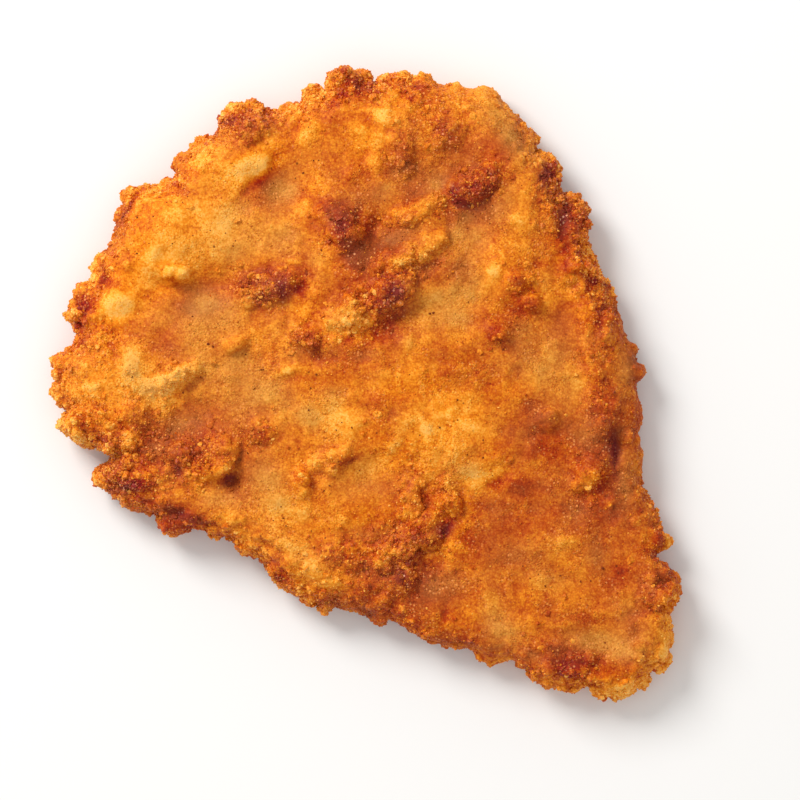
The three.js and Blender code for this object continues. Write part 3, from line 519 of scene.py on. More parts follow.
def smooth_noise(points, size, seed):
    """Value noise from -1 to 1: random numbers at the corners of cubes of the given size, blended inside
    each cube along x, y and z by 3t² - 2t³."""
    scaled = points / size
    base = np.floor(scaled)
    t = scaled - base
    t = t * t * (3 - 2 * t)
    total = np.zeros(len(points))
    for corner in np.ndindex(2, 2, 2):
        weight = np.prod(np.where(np.array(corner) == 1, t, 1 - t), axis=1)
        total += weight * spot_hash(base + corner, seed)
    return 2 * total - 1


def layered_noise(points, size, seed, layers=3):
    """Smooth noise at a size, plus half as much at half the size, and so on."""
    total = sum(smooth_noise(points, size / 2**k, seed + k) / 2**k for k in range(layers))
    return total / sum(1 / 2**k for k in range(layers))


def cell_noise(points, size, seed):
    """Distance from each point to the nearest of one seeded spot in each cube of the given size, as a share
    of the size, and that spot's own random number."""
    scaled = points / size
    base = np.floor(scaled)
    nearest = np.full(len(points), 9.0)
    own = np.zeros(len(points))
    for step in np.ndindex(3, 3, 3):
        cell = base + np.array(step) - 1
        spot = cell + np.stack([spot_hash(cell, seed + k) for k in range(3)], axis=1)
        away = np.linalg.norm(scaled - spot, axis=1)
        own = np.where(away < nearest, spot_hash(cell, seed + 5), own)
        nearest = np.minimum(nearest, away)
    return nearest, own


# %% Hills, mounds and forms
FLAP_STEEP = 2.2  # how steeply a crag's edge falls
FLAP_LEAN = 2.2  # how much steeper at the lower right, and gentler at the upper left
FLAP_ROUND = 0.8  # under 1, the edge is rounded outwards
FORM_SHOULDER = 1.4
FORM_UNITS = (10, 100, 100)  # rises are listed in tenths of a millimetre, the rest in percent
BEND = 0.8  # how far the small forms are bent, in millimetres
BEND_SIZE = 3.0


def ripple(x, y):
    """A smooth patternless wave between about -1 and 1: sines of x and y, bent by slower sines."""
    bend = np.sin(x / 6.1 + 1.3) + np.sin(y / 7.3 + 0.4)
    crossing = np.sin(x / 3.7 + bend) * np.cos(y / 4.3 - bend)
    slanting = np.sin((x + y) / 2.3 + 2 * bend)
    return 0.6 * crossing + 0.4 * slanting


def along_across(x, y, place):
    """Offsets of (x, y) from a place, turned to run along it and across it, as shares of its two reaches."""
    turn = np.radians(place[4])
    along = ((x - place[0]) * np.cos(turn) + (y - place[1]) * np.sin(turn)) / place[2]
    across = ((y - place[1]) * np.cos(turn) - (x - place[0]) * np.sin(turn)) / place[3]
    return along, across


def hills(x, y, places):
    """Sum of smooth rounded hills: each is its last number times exp of minus the squared offsets."""
    total = np.zeros_like(x)
    for place in places:
        along, across = along_across(x, y, place)
        total += place[5] * np.exp(-(along**2 + across**2))
    return total


def mounds(x, y):
    """Sum of the crags and flaps. Each is level in its middle and falls to nothing at its edge, gently on the
    upper left and steeply on the lower right, where flaps of batter hang over: its height times the edge
    distance times a steepness, at most 1. The heading is about -1 at the upper left and 1 at the lower
    right: the offsets along x and against y, over 1.42 times their length, plus 0.5."""
    total = np.zeros_like(x)
    for place in CRAGS:
        along, across = along_across(x, y, place)
        away = 2 * np.hypot(along, across) / CRAG_SPREAD
        heading = (x - place[0] - y + place[1]) / (1.42 * np.hypot(x - place[0], y - place[1]) + 0.5)
        steep = FLAP_STEEP + FLAP_LEAN * heading
        total += place[5] * np.clip((1 - away) * steep, 0, 1) ** FLAP_ROUND
    return total


def forms(x, y):
    """Sums of the small forms at each point: their rise, browning and paleness. The browning holds painted
    shade in dents and painted light on bumps as well. Each form is 1 in its middle and falls off as exp of
    minus its squared distance to the power 1.4, so it has a shoulder. The places are bent by a smooth noise
    first, so that no form is a perfect oval."""
    spots = np.stack([x.ravel(), y.ravel(), np.zeros(x.size)], axis=1)
    bent_x = x + BEND * layered_noise(spots, BEND_SIZE, 31, 2).reshape(x.shape)
    bent_y = y + BEND * layered_noise(spots, BEND_SIZE, 41, 2).reshape(x.shape)
    total = np.zeros((3, *x.shape))
    for place in FORMS:
        along, across = along_across(bent_x, bent_y, place)
        share = np.exp(-((along**2 + across**2) ** FORM_SHOULDER))
        effects = np.array((*place[5:], 0)[:3]) / FORM_UNITS
        total += effects.reshape(3, *[1] * x.ndim) * share
    return total


def crust_height(x, y):
    """Height of the top: a broad dome, the swells and hollows, the crags, and the small forms."""
    away = ((x - THICK_SPOT[0]) ** 2 + (y - THICK_SPOT[1]) ** 2) / THICK_REACH**2
    dome = THICK_EDGE + (THICK_MIDDLE - THICK_EDGE) * np.exp(-away)
    rise = forms(x, y)[0]
    small = FORM_RISE * np.maximum(rise, 0) + FORM_SINK * np.minimum(rise, 0)
    return dome + hills(x, y, SWELLS) + CRAG_RISE * mounds(x, y) + small


# %% The outline as a curve
OUTLINE_STEPS = 3000
ROUND_STEPS = 1440  # directions in which the soft outline is worked out
RIM_RIPPLE = 0.4  # how far the rim goes in and out between its knobs
RIPPLE_SINK = 0.3


def closed_curve(points, count, parts=16):
    """Evenly spaced points on a closed Catmull-Rom curve. Between p1 and p2, with p0 before and p3 after,
    it is half of 2p1 + (p2-p0)t + (2p0-5p1+4p2-p3)t² + (3p1-p0-3p2+p3)t³."""
    t = np.linspace(0, 1, parts, endpoint=False)[None, :, None]
    p0, p1, p2, p3 = (np.roll(points, shift, axis=0)[:, None, :] for shift in (1, 0, -1, -2))
    square = (2 * p0 - 5 * p1 + 4 * p2 - p3) * t**2
    cube = (3 * p1 - p0 - 3 * p2 + p3) * t**3
    dense = ((2 * p1 + (p2 - p0) * t + square + cube) / 2).reshape(-1, 2)
    dense = np.vstack([dense, dense[:1]])
    walked = np.concatenate([[0], np.cumsum(np.linalg.norm(np.diff(dense, axis=0), axis=1))])
    stops = np.linspace(0, walked[-1], count, endpoint=False)
    return np.stack([np.interp(stops, walked, dense[:, k]) for k in (0, 1)], axis=1)


outline_fine = closed_curve(OUTLINE, OUTLINE_STEPS)
outline_heading = np.arctan2(outline_fine[:, 1], outline_fine[:, 0])
outline_order = np.argsort(outline_heading)
outline_reach = np.linalg.norm(outline_fine, axis=1)


def reach_at(heading):
    """How far the outline is from the middle, in the direction of each heading."""
    return np.interp(heading, outline_heading[outline_order], outline_reach[outline_order], period=2 * np.pi)


def soft_reach_at(heading, waves=22):
    """The same without its knobs and notches: of the waves that make up the reach as one goes round, only
    the slowest are kept."""
    round_once = np.linspace(-np.pi, np.pi, ROUND_STEPS, endpoint=False)
    spectrum = np.fft.rfft(reach_at(round_once))
    spectrum[waves:] = 0
    return np.interp(heading, round_once, np.fft.irfft(spectrum, ROUND_STEPS), period=2 * np.pi)


def rim_point(heading, angle):
    """A point of the rounded rim. At 90 degrees it is on the level top, at 0 on the widest line and at -90
    on the table. Its distance in from the soft outline is the inset times 1 minus the cosine of the angle,
    and the knobs and notches of the real outline come in with the cosine."""
    soft = soft_reach_at(heading)
    inset = np.where(angle > 0, SHOULDER, FOOT) - BARE
    out = soft - BARE - inset * (1 - np.cos(angle)) + (reach_at(heading) - soft) * np.cos(angle)
    x, y = np.cos(heading) * out, np.sin(heading) * out
    above = WIDEST_HEIGHT + (crust_height(x, y) - WIDEST_HEIGHT) * np.sin(angle)
    z = np.where(angle > 0, above, WIDEST_HEIGHT * (1 + np.sin(angle)))
    out = out + RIM_RIPPLE * (ripple(2 * (x + z), 2 * (y - z)) - RIPPLE_SINK) * np.cos(angle)
    return np.stack([np.cos(heading) * out, np.sin(heading) * out, z], axis=-1)


print("rim between", outline_reach.min().round(1), "and", outline_reach.max().round(1), "mm from the middle")

# %% The body as one closed grid
ROUND = 1100  # points round the outline
TOP_ROWS = 110
RIM_TURNS = 26
UNDER_ROWS = 12


def body_grid():
    """Rows of points from the middle of the top, over the rim, to the middle of the underside."""
    heading = -np.linspace(0, 2 * np.pi, ROUND, endpoint=False)
    round_edge = np.stack([np.cos(heading), np.sin(heading)], axis=1)
    soft = soft_reach_at(heading)
    shares = np.linspace(0, 1, TOP_ROWS + 1)[1:, None]
    inner = round_edge * (shares * (soft - SHOULDER))[:, :, None]
    top = np.dstack([inner, crust_height(inner[..., 0], inner[..., 1])])
    angles = np.radians(np.linspace(90, -90, RIM_TURNS + 2)[1:-1])[:, None]
    rim = rim_point(np.broadcast_to(heading, (RIM_TURNS, ROUND)), np.broadcast_to(angles, (RIM_TURNS, ROUND)))
    shares = np.linspace(1, 0, UNDER_ROWS + 1)[:-1, None]
    inner = round_edge * (shares * (soft - FOOT))[:, :, None]
    under = np.dstack([inner, np.zeros(inner.shape[:2])])
    return np.concatenate([top, rim, under])


def closed_grid_mesh(rows):
    """Quads between neighbouring rows, and a fan of triangles to a middle point at each end."""
    count, around = rows.shape[:2]
    points = rows.reshape(-1, 3)
    ends = [rows[0].mean(axis=0), rows[-1].mean(axis=0)]
    points = np.vstack([points, ends])
    here = np.arange(around)
    onward = (here + 1) % around
    row = np.arange(count - 1)[:, None] * around
    quads = np.stack([row + here, row + around + here, row + around + onward, row + onward], axis=-1)
    first = count * around
    cap_top = np.stack([np.full(around, first), here, onward], axis=1)
    last = (count - 1) * around
    cap_under = np.stack([np.full(around, first + 1), last + onward, last + here], axis=1)
    return points, quads.reshape(-1, 4), np.vstack([cap_top, cap_under])


body_points, body_quads, body_fans = closed_grid_mesh(body_grid())
print("body grid", len(body_points), "points, height", body_points[:, 2].max().round(2), "mm")

# %% [markdown]
# ## Lumps of batter
# Where wet batter clings to itself it fries into little knobs, heaped on each other. A smooth surface pushed
# in and out never gets their undercuts, so real lumps are scattered over the crags and along the rim. Each
# is a dented ball of a few dozen faces. They are strewn by a seeded rule, thick where the crust is craggy.

# %% Where the crust is craggy
# Crumbly places: x, y, reach along, reach across, turn in degrees, share.
CRUMBLY = [
    (-53, -12, 12, 9, 0, 0.6), (-36, -16, 8, 5, 20, 0.6), (-50, -21, 8, 4, 5, 0.4),
    (-22, 21, 7, 4, 15, 0.75), (-5, 34, 6, 5, -60, 0.5), (10, 27, 8, 3.5, 20, 0.4),
    (10, 37, 8, 2.5, 20, 0.4), (2, 17, 11, 5, 35, 0.75), (24, 43, 8, 4, 30, 0.75), (8, 50, 3, 6, 0, 0.4),
    (17, 56, 6, 5, 0, 0.35), (0, 64, 14, 4, 0, 0.45), (-27, 57, 7, 4, 20, 0.5), (-13, 10, 4, 3, 0, 0.45),
    (-23, -10.5, 4, 3, 0, 0.5), (-9, -17, 6, 3, 20, 0.35), (10, -22, 4, 7, 10, 0.45),
    (18, -24, 3, 6, 10, 0.45), (8, -37, 10, 8, 10, 0.75), (-7, -37, 6, 4, 0, 0.4), (45, -60, 9, 5, 0, 0.5),
    (65, -45, 5, 5, 0, 0.35), (50, 25, 5, 10, 20, 0.4), (51, 0, 4, 16, 0, 0.35), (49, -22, 6, 8, 30, 0.35),
    (42, 42, 6, 10, -30, 0.4), (-58, 8, 9, 9, 0, 0.25), (-42, 1, 7, 4, 20, 0.3), (28, 10, 4, 3, 0, 0.3),
    (34, 20, 4, 4, 0, 0.3), (-45, 34, 9, 8, 20, -0.2), (-54.5, 18, 4, 3.5, 0, -0.3),
    (18, 17, 7, 4, 15, -0.15), (52, -56, 7, 3.5, 0, -0.3), (0, -22, 6, 5, 0, -0.2),
    (-18, 43, 5, 5, 0, -0.15), (-35, 50, 5, 4, 20, -0.15), (33, 38, 4, 12, 15, -0.1),
]
# Stretches of the rim that are even: x, y, reach along, reach across, turn in degrees, share.
EVEN_RIM = [
    (24, 64, 14, 8, -30, 0.85), (58, 0, 8, 26, 5, 0.9), (30, -60, 24, 6, -15, 0.7), (66, -54, 5, 10, 0, 0.8),
    (67, -43, 4, 4, 0, 0.4),
]
RIM_BAND = 5.0  # width of the craggy band along the outline
RIM_CRUMBLY = 0.55
PLAIN_CRUMBLY = 0.11
LEAST_CRUMBLY = 0.02


def inside_outline(x, y):
    """How far (x, y) lies inside the outline, measured towards the middle of the fillet."""
    return reach_at(np.arctan2(y, x)) - np.hypot(x, y)


def crumbliness(x, y):
    """From 0 on smooth batter to 1 on crags: the listed places, and a band along the outline."""
    band = RIM_CRUMBLY * np.exp(-((np.maximum(inside_outline(x, y), 0) / RIM_BAND) ** 2))
    band = band * (1 - hills(x, y, EVEN_RIM))
    return np.clip(PLAIN_CRUMBLY + hills(x, y, CRUMBLY) + band, LEAST_CRUMBLY, 1)


print(len(CRUMBLY), "crumbly places,", len(EVEN_RIM), "even stretches of the rim")


# %% Lumps as dented balls
STRETCH = (0.72, 1.3)  # least and most that a ball is stretched along each axis


def ball(detail):
    """Corners and triangles of a ball made from an icosahedron."""
    shape = bmesh.new()
    bmesh.ops.create_icosphere(shape, subdivisions=detail, radius=1)
    corners = np.array([v.co for v in shape.verts])
    triangles = np.array([[v.index for v in f.verts] for f in shape.faces])
    shape.free()
    return corners, triangles


def random_turns(count):
    """Random rotations, from four normal numbers each taken as a quaternion."""
    w, x, y, z = random.normal(size=(count, 4)).T
    length = np.sqrt(w * w + x * x + y * y + z * z)
    w, x, y, z = w / length, x / length, y / length, z / length
    rows = [
        [1 - 2 * (y * y + z * z), 2 * (x * y - z * w), 2 * (x * z + y * w)],
        [2 * (x * y + z * w), 1 - 2 * (x * x + z * z), 2 * (y * z - x * w)],
        [2 * (x * z - y * w), 2 * (y * z + x * w), 1 - 2 * (x * x + y * y)],
    ]
    return np.array(rows).transpose(2, 0, 1)


def scattered_balls(centres, radii, detail, dent):
    """Every ball at once: the corners are moved in and out by up to dent, stretched differently along three
    axes, turned at random and moved to their centres."""
    corners, triangles = ball(detail)
    count = len(centres)
    shapes = corners[None] * (1 + dent * random.uniform(-1, 1, (count, len(corners), 1)))
    shapes = shapes * random.uniform(*STRETCH, (count, 1, 3))
    shapes = np.einsum("nij,nkj->nki", random_turns(count), shapes) * radii[:, None, None]
    points = (shapes + centres[:, None, :]).reshape(-1, 3)
    faces = (triangles[None] + len(corners) * np.arange(count)[:, None, None]).reshape(-1, 3)
    return points, faces


# %% Strewing the lumps
CRAG_LUMPS = 0.2  # lumps for each square millimetre of a crag's length times its width
CRAG_SINK = 0.45  # how far a lump's middle lies under the crag's top, as a share of its radius
RIM_SINK = 0.65  # how far it lies inside the rim
FIELD_SINK = 0.55  # how far it lies under the smoother top
RIM_TRIES = 900
FIELD_TRIES = 1400
RIM_ANGLES = (-55, 80)  # lowest and highest place on the rounded rim, in degrees
FIELD_INSET = 5  # the smoother top begins this far inside the outline
LUMP_DENT = 0.2


def crag_lumps():
    """Lumps on each crag: as many as its area asks for, thickest in the middle and larger on high crags."""
    spots = []
    for x, y, length, width, turn, height in CRAGS:
        count = int(CRAG_LUMPS * length * width)
        away = random.uniform(0, 1, count) ** 0.6
        heading = random.uniform(0, 2 * np.pi, count)
        along = away * np.cos(heading) * length / 2
        across = away * np.sin(heading) * width / 2
        cos, sin = np.cos(np.radians(turn)), np.sin(np.radians(turn))
        radii = random.uniform(0.7, 1.7, count) * (0.75 + 0.2 * height)
        here = [x + along * cos - across * sin, y + along * sin + across * cos]
        spots.append(np.stack([*here, radii], axis=1))
    spots = np.vstack(spots)
    top = crust_height(spots[:, 0], spots[:, 1])
    centres = np.stack([spots[:, 0], spots[:, 1], top - CRAG_SINK * spots[:, 2]], axis=1)
    return centres, spots[:, 2]


def rim_lumps(tries):
    """Lumps along the rim, at random places round the outline and angles over its rounded side, kept where
    a random number is over the share of evenness."""
    heading = outline_heading[random.integers(0, len(outline_fine), tries)]
    edge_x, edge_y = np.cos(heading) * reach_at(heading), np.sin(heading) * reach_at(heading)
    heading = heading[random.uniform(0, 1, tries) > hills(edge_x, edge_y, EVEN_RIM)]
    count = len(heading)
    angle = np.radians(random.uniform(*RIM_ANGLES, count))
    radii = random.uniform(0.6, 1.6, count)
    centres = rim_point(heading, angle)
    centres[:, :2] *= (1 - RIM_SINK * radii / np.linalg.norm(centres[:, :2], axis=1))[:, None]
    return centres, radii


def field_lumps(tries):
    """Small lumps over the rest of the top, kept where a random number is under the crumbliness."""
    x, y = random.uniform(-70, 70, tries), random.uniform(-71, 71, tries)
    keep = (inside_outline(x, y) > FIELD_INSET) & (random.uniform(0, 1, tries) < crumbliness(x, y) ** 1.6)
    x, y = x[keep], y[keep]
    radii = random.uniform(0.6, 1.3, len(x))
    return np.stack([x, y, crust_height(x, y) - FIELD_SINK * radii], axis=1), radii


knobs = (RIM_KNOBS[:, :3], RIM_KNOBS[:, 3])
lump_sets = [knobs, crag_lumps(), rim_lumps(RIM_TRIES), field_lumps(FIELD_TRIES)]
lump_centres = np.vstack([centres for centres, radii in lump_sets])
lump_radii = np.concatenate([radii for centres, radii in lump_sets])
lump_points, lump_faces = scattered_balls(lump_centres, lump_radii, 2, LUMP_DENT)
print("lumps", len(lump_radii), "of", lump_radii.min().round(2), "to", lump_radii.max().round(2), "mm radius")

# %% [markdown]
# ## One skin over all
# Body and lumps overlap, and a real crust is one skin over them. A voxel remesh finds that skin: it fills
# space with small cubes, keeps the surface between inside and outside, and gives even faces about half a
# millimetre across. The relief that follows needs such even faces.


# %% Joining and remeshing
def mesh_from_arrays(name, points, *face_sets):
    """A mesh from arrays of points in millimetres and of faces with three or four corners."""
    mesh = bpy.data.meshes.new(name)
    loops = np.concatenate([faces.reshape(-1) for faces in face_sets])
    sizes = np.concatenate([np.full(len(faces), faces.shape[1]) for faces in face_sets])
    starts = np.concatenate([[0], np.cumsum(sizes)[:-1]])
    mesh.vertices.add(len(points))
    mesh.vertices.foreach_set("co", (points * MM).astype(np.float32).reshape(-1))
    mesh.loops.add(len(loops))
    mesh.loops.foreach_set("vertex_index", loops.astype(np.int32))
    mesh.polygons.add(len(sizes))
    mesh.polygons.foreach_set("loop_start", starts.astype(np.int32))
    mesh.update(calc_edges=True)
    return mesh


def new_object(name, mesh):
    """An object at the origin, unturned, that shows the mesh."""
    piece = bpy.data.objects.new(name, mesh)
    bpy.context.scene.collection.objects.link(piece)
    return piece


def with_modifiers_applied(piece):
    """Gives the piece the mesh that its modifiers make, and takes the modifiers away."""
    graph = bpy.context.evaluated_depsgraph_get()
    made = bpy.data.meshes.new_from_object(piece.evaluated_get(graph))
    piece.modifiers.clear()
    piece.data = made


SKIN_STEP = 0.55

all_points = np.vstack([body_points, lump_points])
crust = new_object(
    "crust", mesh_from_arrays("crust", all_points, body_quads, body_fans, lump_faces + len(body_points))
)
skin = crust.modifiers.new("skin", "REMESH")
skin.mode = "VOXEL"
skin.voxel_size = SKIN_STEP * MM
with_modifiers_applied(crust)
print("skin", len(crust.data.vertices), "points", len(crust.data.polygons), "faces")


# %% Reading and writing a mesh as arrays
def read_points(mesh):
    """The mesh's points in millimetres."""
    points = np.empty(len(mesh.vertices) * 3, np.float32)
    mesh.vertices.foreach_get("co", points)
    return points.reshape(-1, 3).astype(float) / MM


def read_normals(mesh):
    """The direction in which the surface faces at each point."""
    normals = np.empty(len(mesh.vertices) * 3, np.float32)
    mesh.vertex_normals.foreach_get("vector", normals)
    return normals.reshape(-1, 3).astype(float)


def write_points(mesh, points):
    """Moves the mesh's points to places in millimetres."""
    mesh.vertices.foreach_set("co", (points * MM).astype(np.float32).reshape(-1))
    mesh.update()


def neighbours_mean(mesh, values, times):
    """Blurs values over the mesh: each point takes the mean of itself and its neighbours, several times."""
    edges = np.empty(len(mesh.edges) * 2, np.int32)
    mesh.edges.foreach_get("vertices", edges)
    a, b = edges.reshape(-1, 2).T
    count = len(mesh.vertices)
    links = np.bincount(a, minlength=count) + np.bincount(b, minlength=count) + 1.0
    values = values.reshape(count, -1).copy()
    for _ in range(times):
        summed = values.copy()
        for k in range(values.shape[1]):
            summed[:, k] += np.bincount(a, values[b, k], count) + np.bincount(b, values[a, k], count)
        values = summed / links[:, None]
    return values


# %% [markdown]
# ## Relief on the skin
# Fried batter looks like cauliflower: rounded grains with sharp creases between them, at several sizes. One
# minus the squared distance to the nearest seeded spot gives that form. It is pushed out along the surface's
# direction, which is found again after each size, so small grains ride on the sides of large ones.


# %% Pushing the relief out
USUAL_GRAIN = 0.72  # share that is taken off the grains, so that they rise and sink alike
OWN_HEIGHT = 0.35  # how much higher or lower a grain stands than the next
GRAIN_BEND = 0.6  # how far the grains are bent, as a share of their size
SIDE_CRAGGY = 0.25  # how much craggier a steep side is
RIDGE_FALL = 2.2  # how fast a soft ridge falls off


def push_relief(mesh, size, height, seed):
    """Moves each point along its normal by height times (1 - d²) less its usual value, where d is the
    distance to the nearest spot, and each spot's cell stands a little higher or lower than the next. The
    places are bent by noise 1.5 times as wide first, so that no cube shows."""
    points = read_points(mesh)
    bends = [smooth_noise(points, 1.5 * size, seed + 20 + k) for k in range(3)]
    nearest, own = cell_noise(points + GRAIN_BEND * size * np.stack(bends, axis=1), size, seed)
    grain = (1 - np.minimum(nearest, 1) ** 2 - USUAL_GRAIN) + OWN_HEIGHT * (own - 0.5)
    side = 1 - np.abs(read_normals(mesh)[:, 2])
    craggy = np.clip(crumbliness(points[:, 0], points[:, 1]) + SIDE_CRAGGY * side, 0, 1)
    write_points(mesh, points + read_normals(mesh) * (grain * (height[0] + height[1] * craggy))[:, None])


def push_wrinkles(mesh, size, height, seed):
    """Moves each point along its normal by height times 1 - 2.2|n|, which makes soft ridges where a smooth
    noise n crosses zero."""
    points = read_points(mesh)
    ridge = 1 - RIDGE_FALL * np.abs(layered_noise(points, size, seed, 2))
    write_points(mesh, points + read_normals(mesh) * (height * ridge)[:, None])


def sit_on_table(mesh):
    """Presses what would lie below the table flat against it."""
    points = read_points(mesh)
    points[:, 2] = np.maximum(points[:, 2], 0)
    write_points(mesh, points)


WRINKLES = [(12, 0.35), (5.5, 0.25)]  # size of the soft ridges, and their height
RELIEF = [  # size of the grains, height on smooth batter and height added on crags
    (4.4, (0.12, 0.9)),
    (2.3, (0.12, 0.75)),
    (1.2, (0.10, 0.48)),
]
write_points(crust.data, neighbours_mean(crust.data, read_points(crust.data), 1))
for number, (size, height) in enumerate(WRINKLES):
    push_wrinkles(crust.data, size, height, 60 + 10 * number)
for number, (size, height) in enumerate(RELIEF):
    push_relief(crust.data, size, height, 100 + 10 * number)
sit_on_table(crust.data)
print(len(WRINKLES), "sizes of ridge and", len(RELIEF), "sizes of grain pushed out")

# %% A coarser underside
UNDER_KEEP = 0.12  # share of the underside's faces that are kept
UNDER_HEIGHT = 1.2  # the underside ends at this height
UNDER_FACING = -0.3  # and where its normals no longer point down by this much
UNDER_WEIGHT = 8  # how strongly the collapse keeps to the underside


def coarsen_underside(piece):
    """Collapses small faces where the skin faces the table, which nobody sees closely."""
    points, normals = read_points(piece.data), read_normals(piece.data)
    under = (points[:, 2] < UNDER_HEIGHT) & (normals[:, 2] < UNDER_FACING)
    group = piece.vertex_groups.new(name="underside")
    group.add(np.flatnonzero(under).tolist(), 1.0, "REPLACE")
    share = under.mean()
    collapse = piece.modifiers.new("collapse", "DECIMATE")
    collapse.vertex_group = "underside"
    collapse.vertex_group_factor = UNDER_WEIGHT
    collapse.ratio = 1 - share * (1 - UNDER_KEEP)
    with_modifiers_applied(piece)
    piece.vertex_groups.clear()


coarsen_underside(crust)

# %% The skin set on the middle of the solid's box
crust_points = read_points(crust.data)
shift = (crust_points.max(axis=0) + crust_points.min(axis=0)) / 2 - (LOW + HIGH) / 2
shift[2] = crust_points[:, 2].min()
crust_points -= shift
write_points(crust.data, crust_points)
crust.data.calc_loop_triangles()
print("crust", len(crust.data.loop_triangles), "triangles, box", np.ptp(crust_points, axis=0).round(1), "mm")
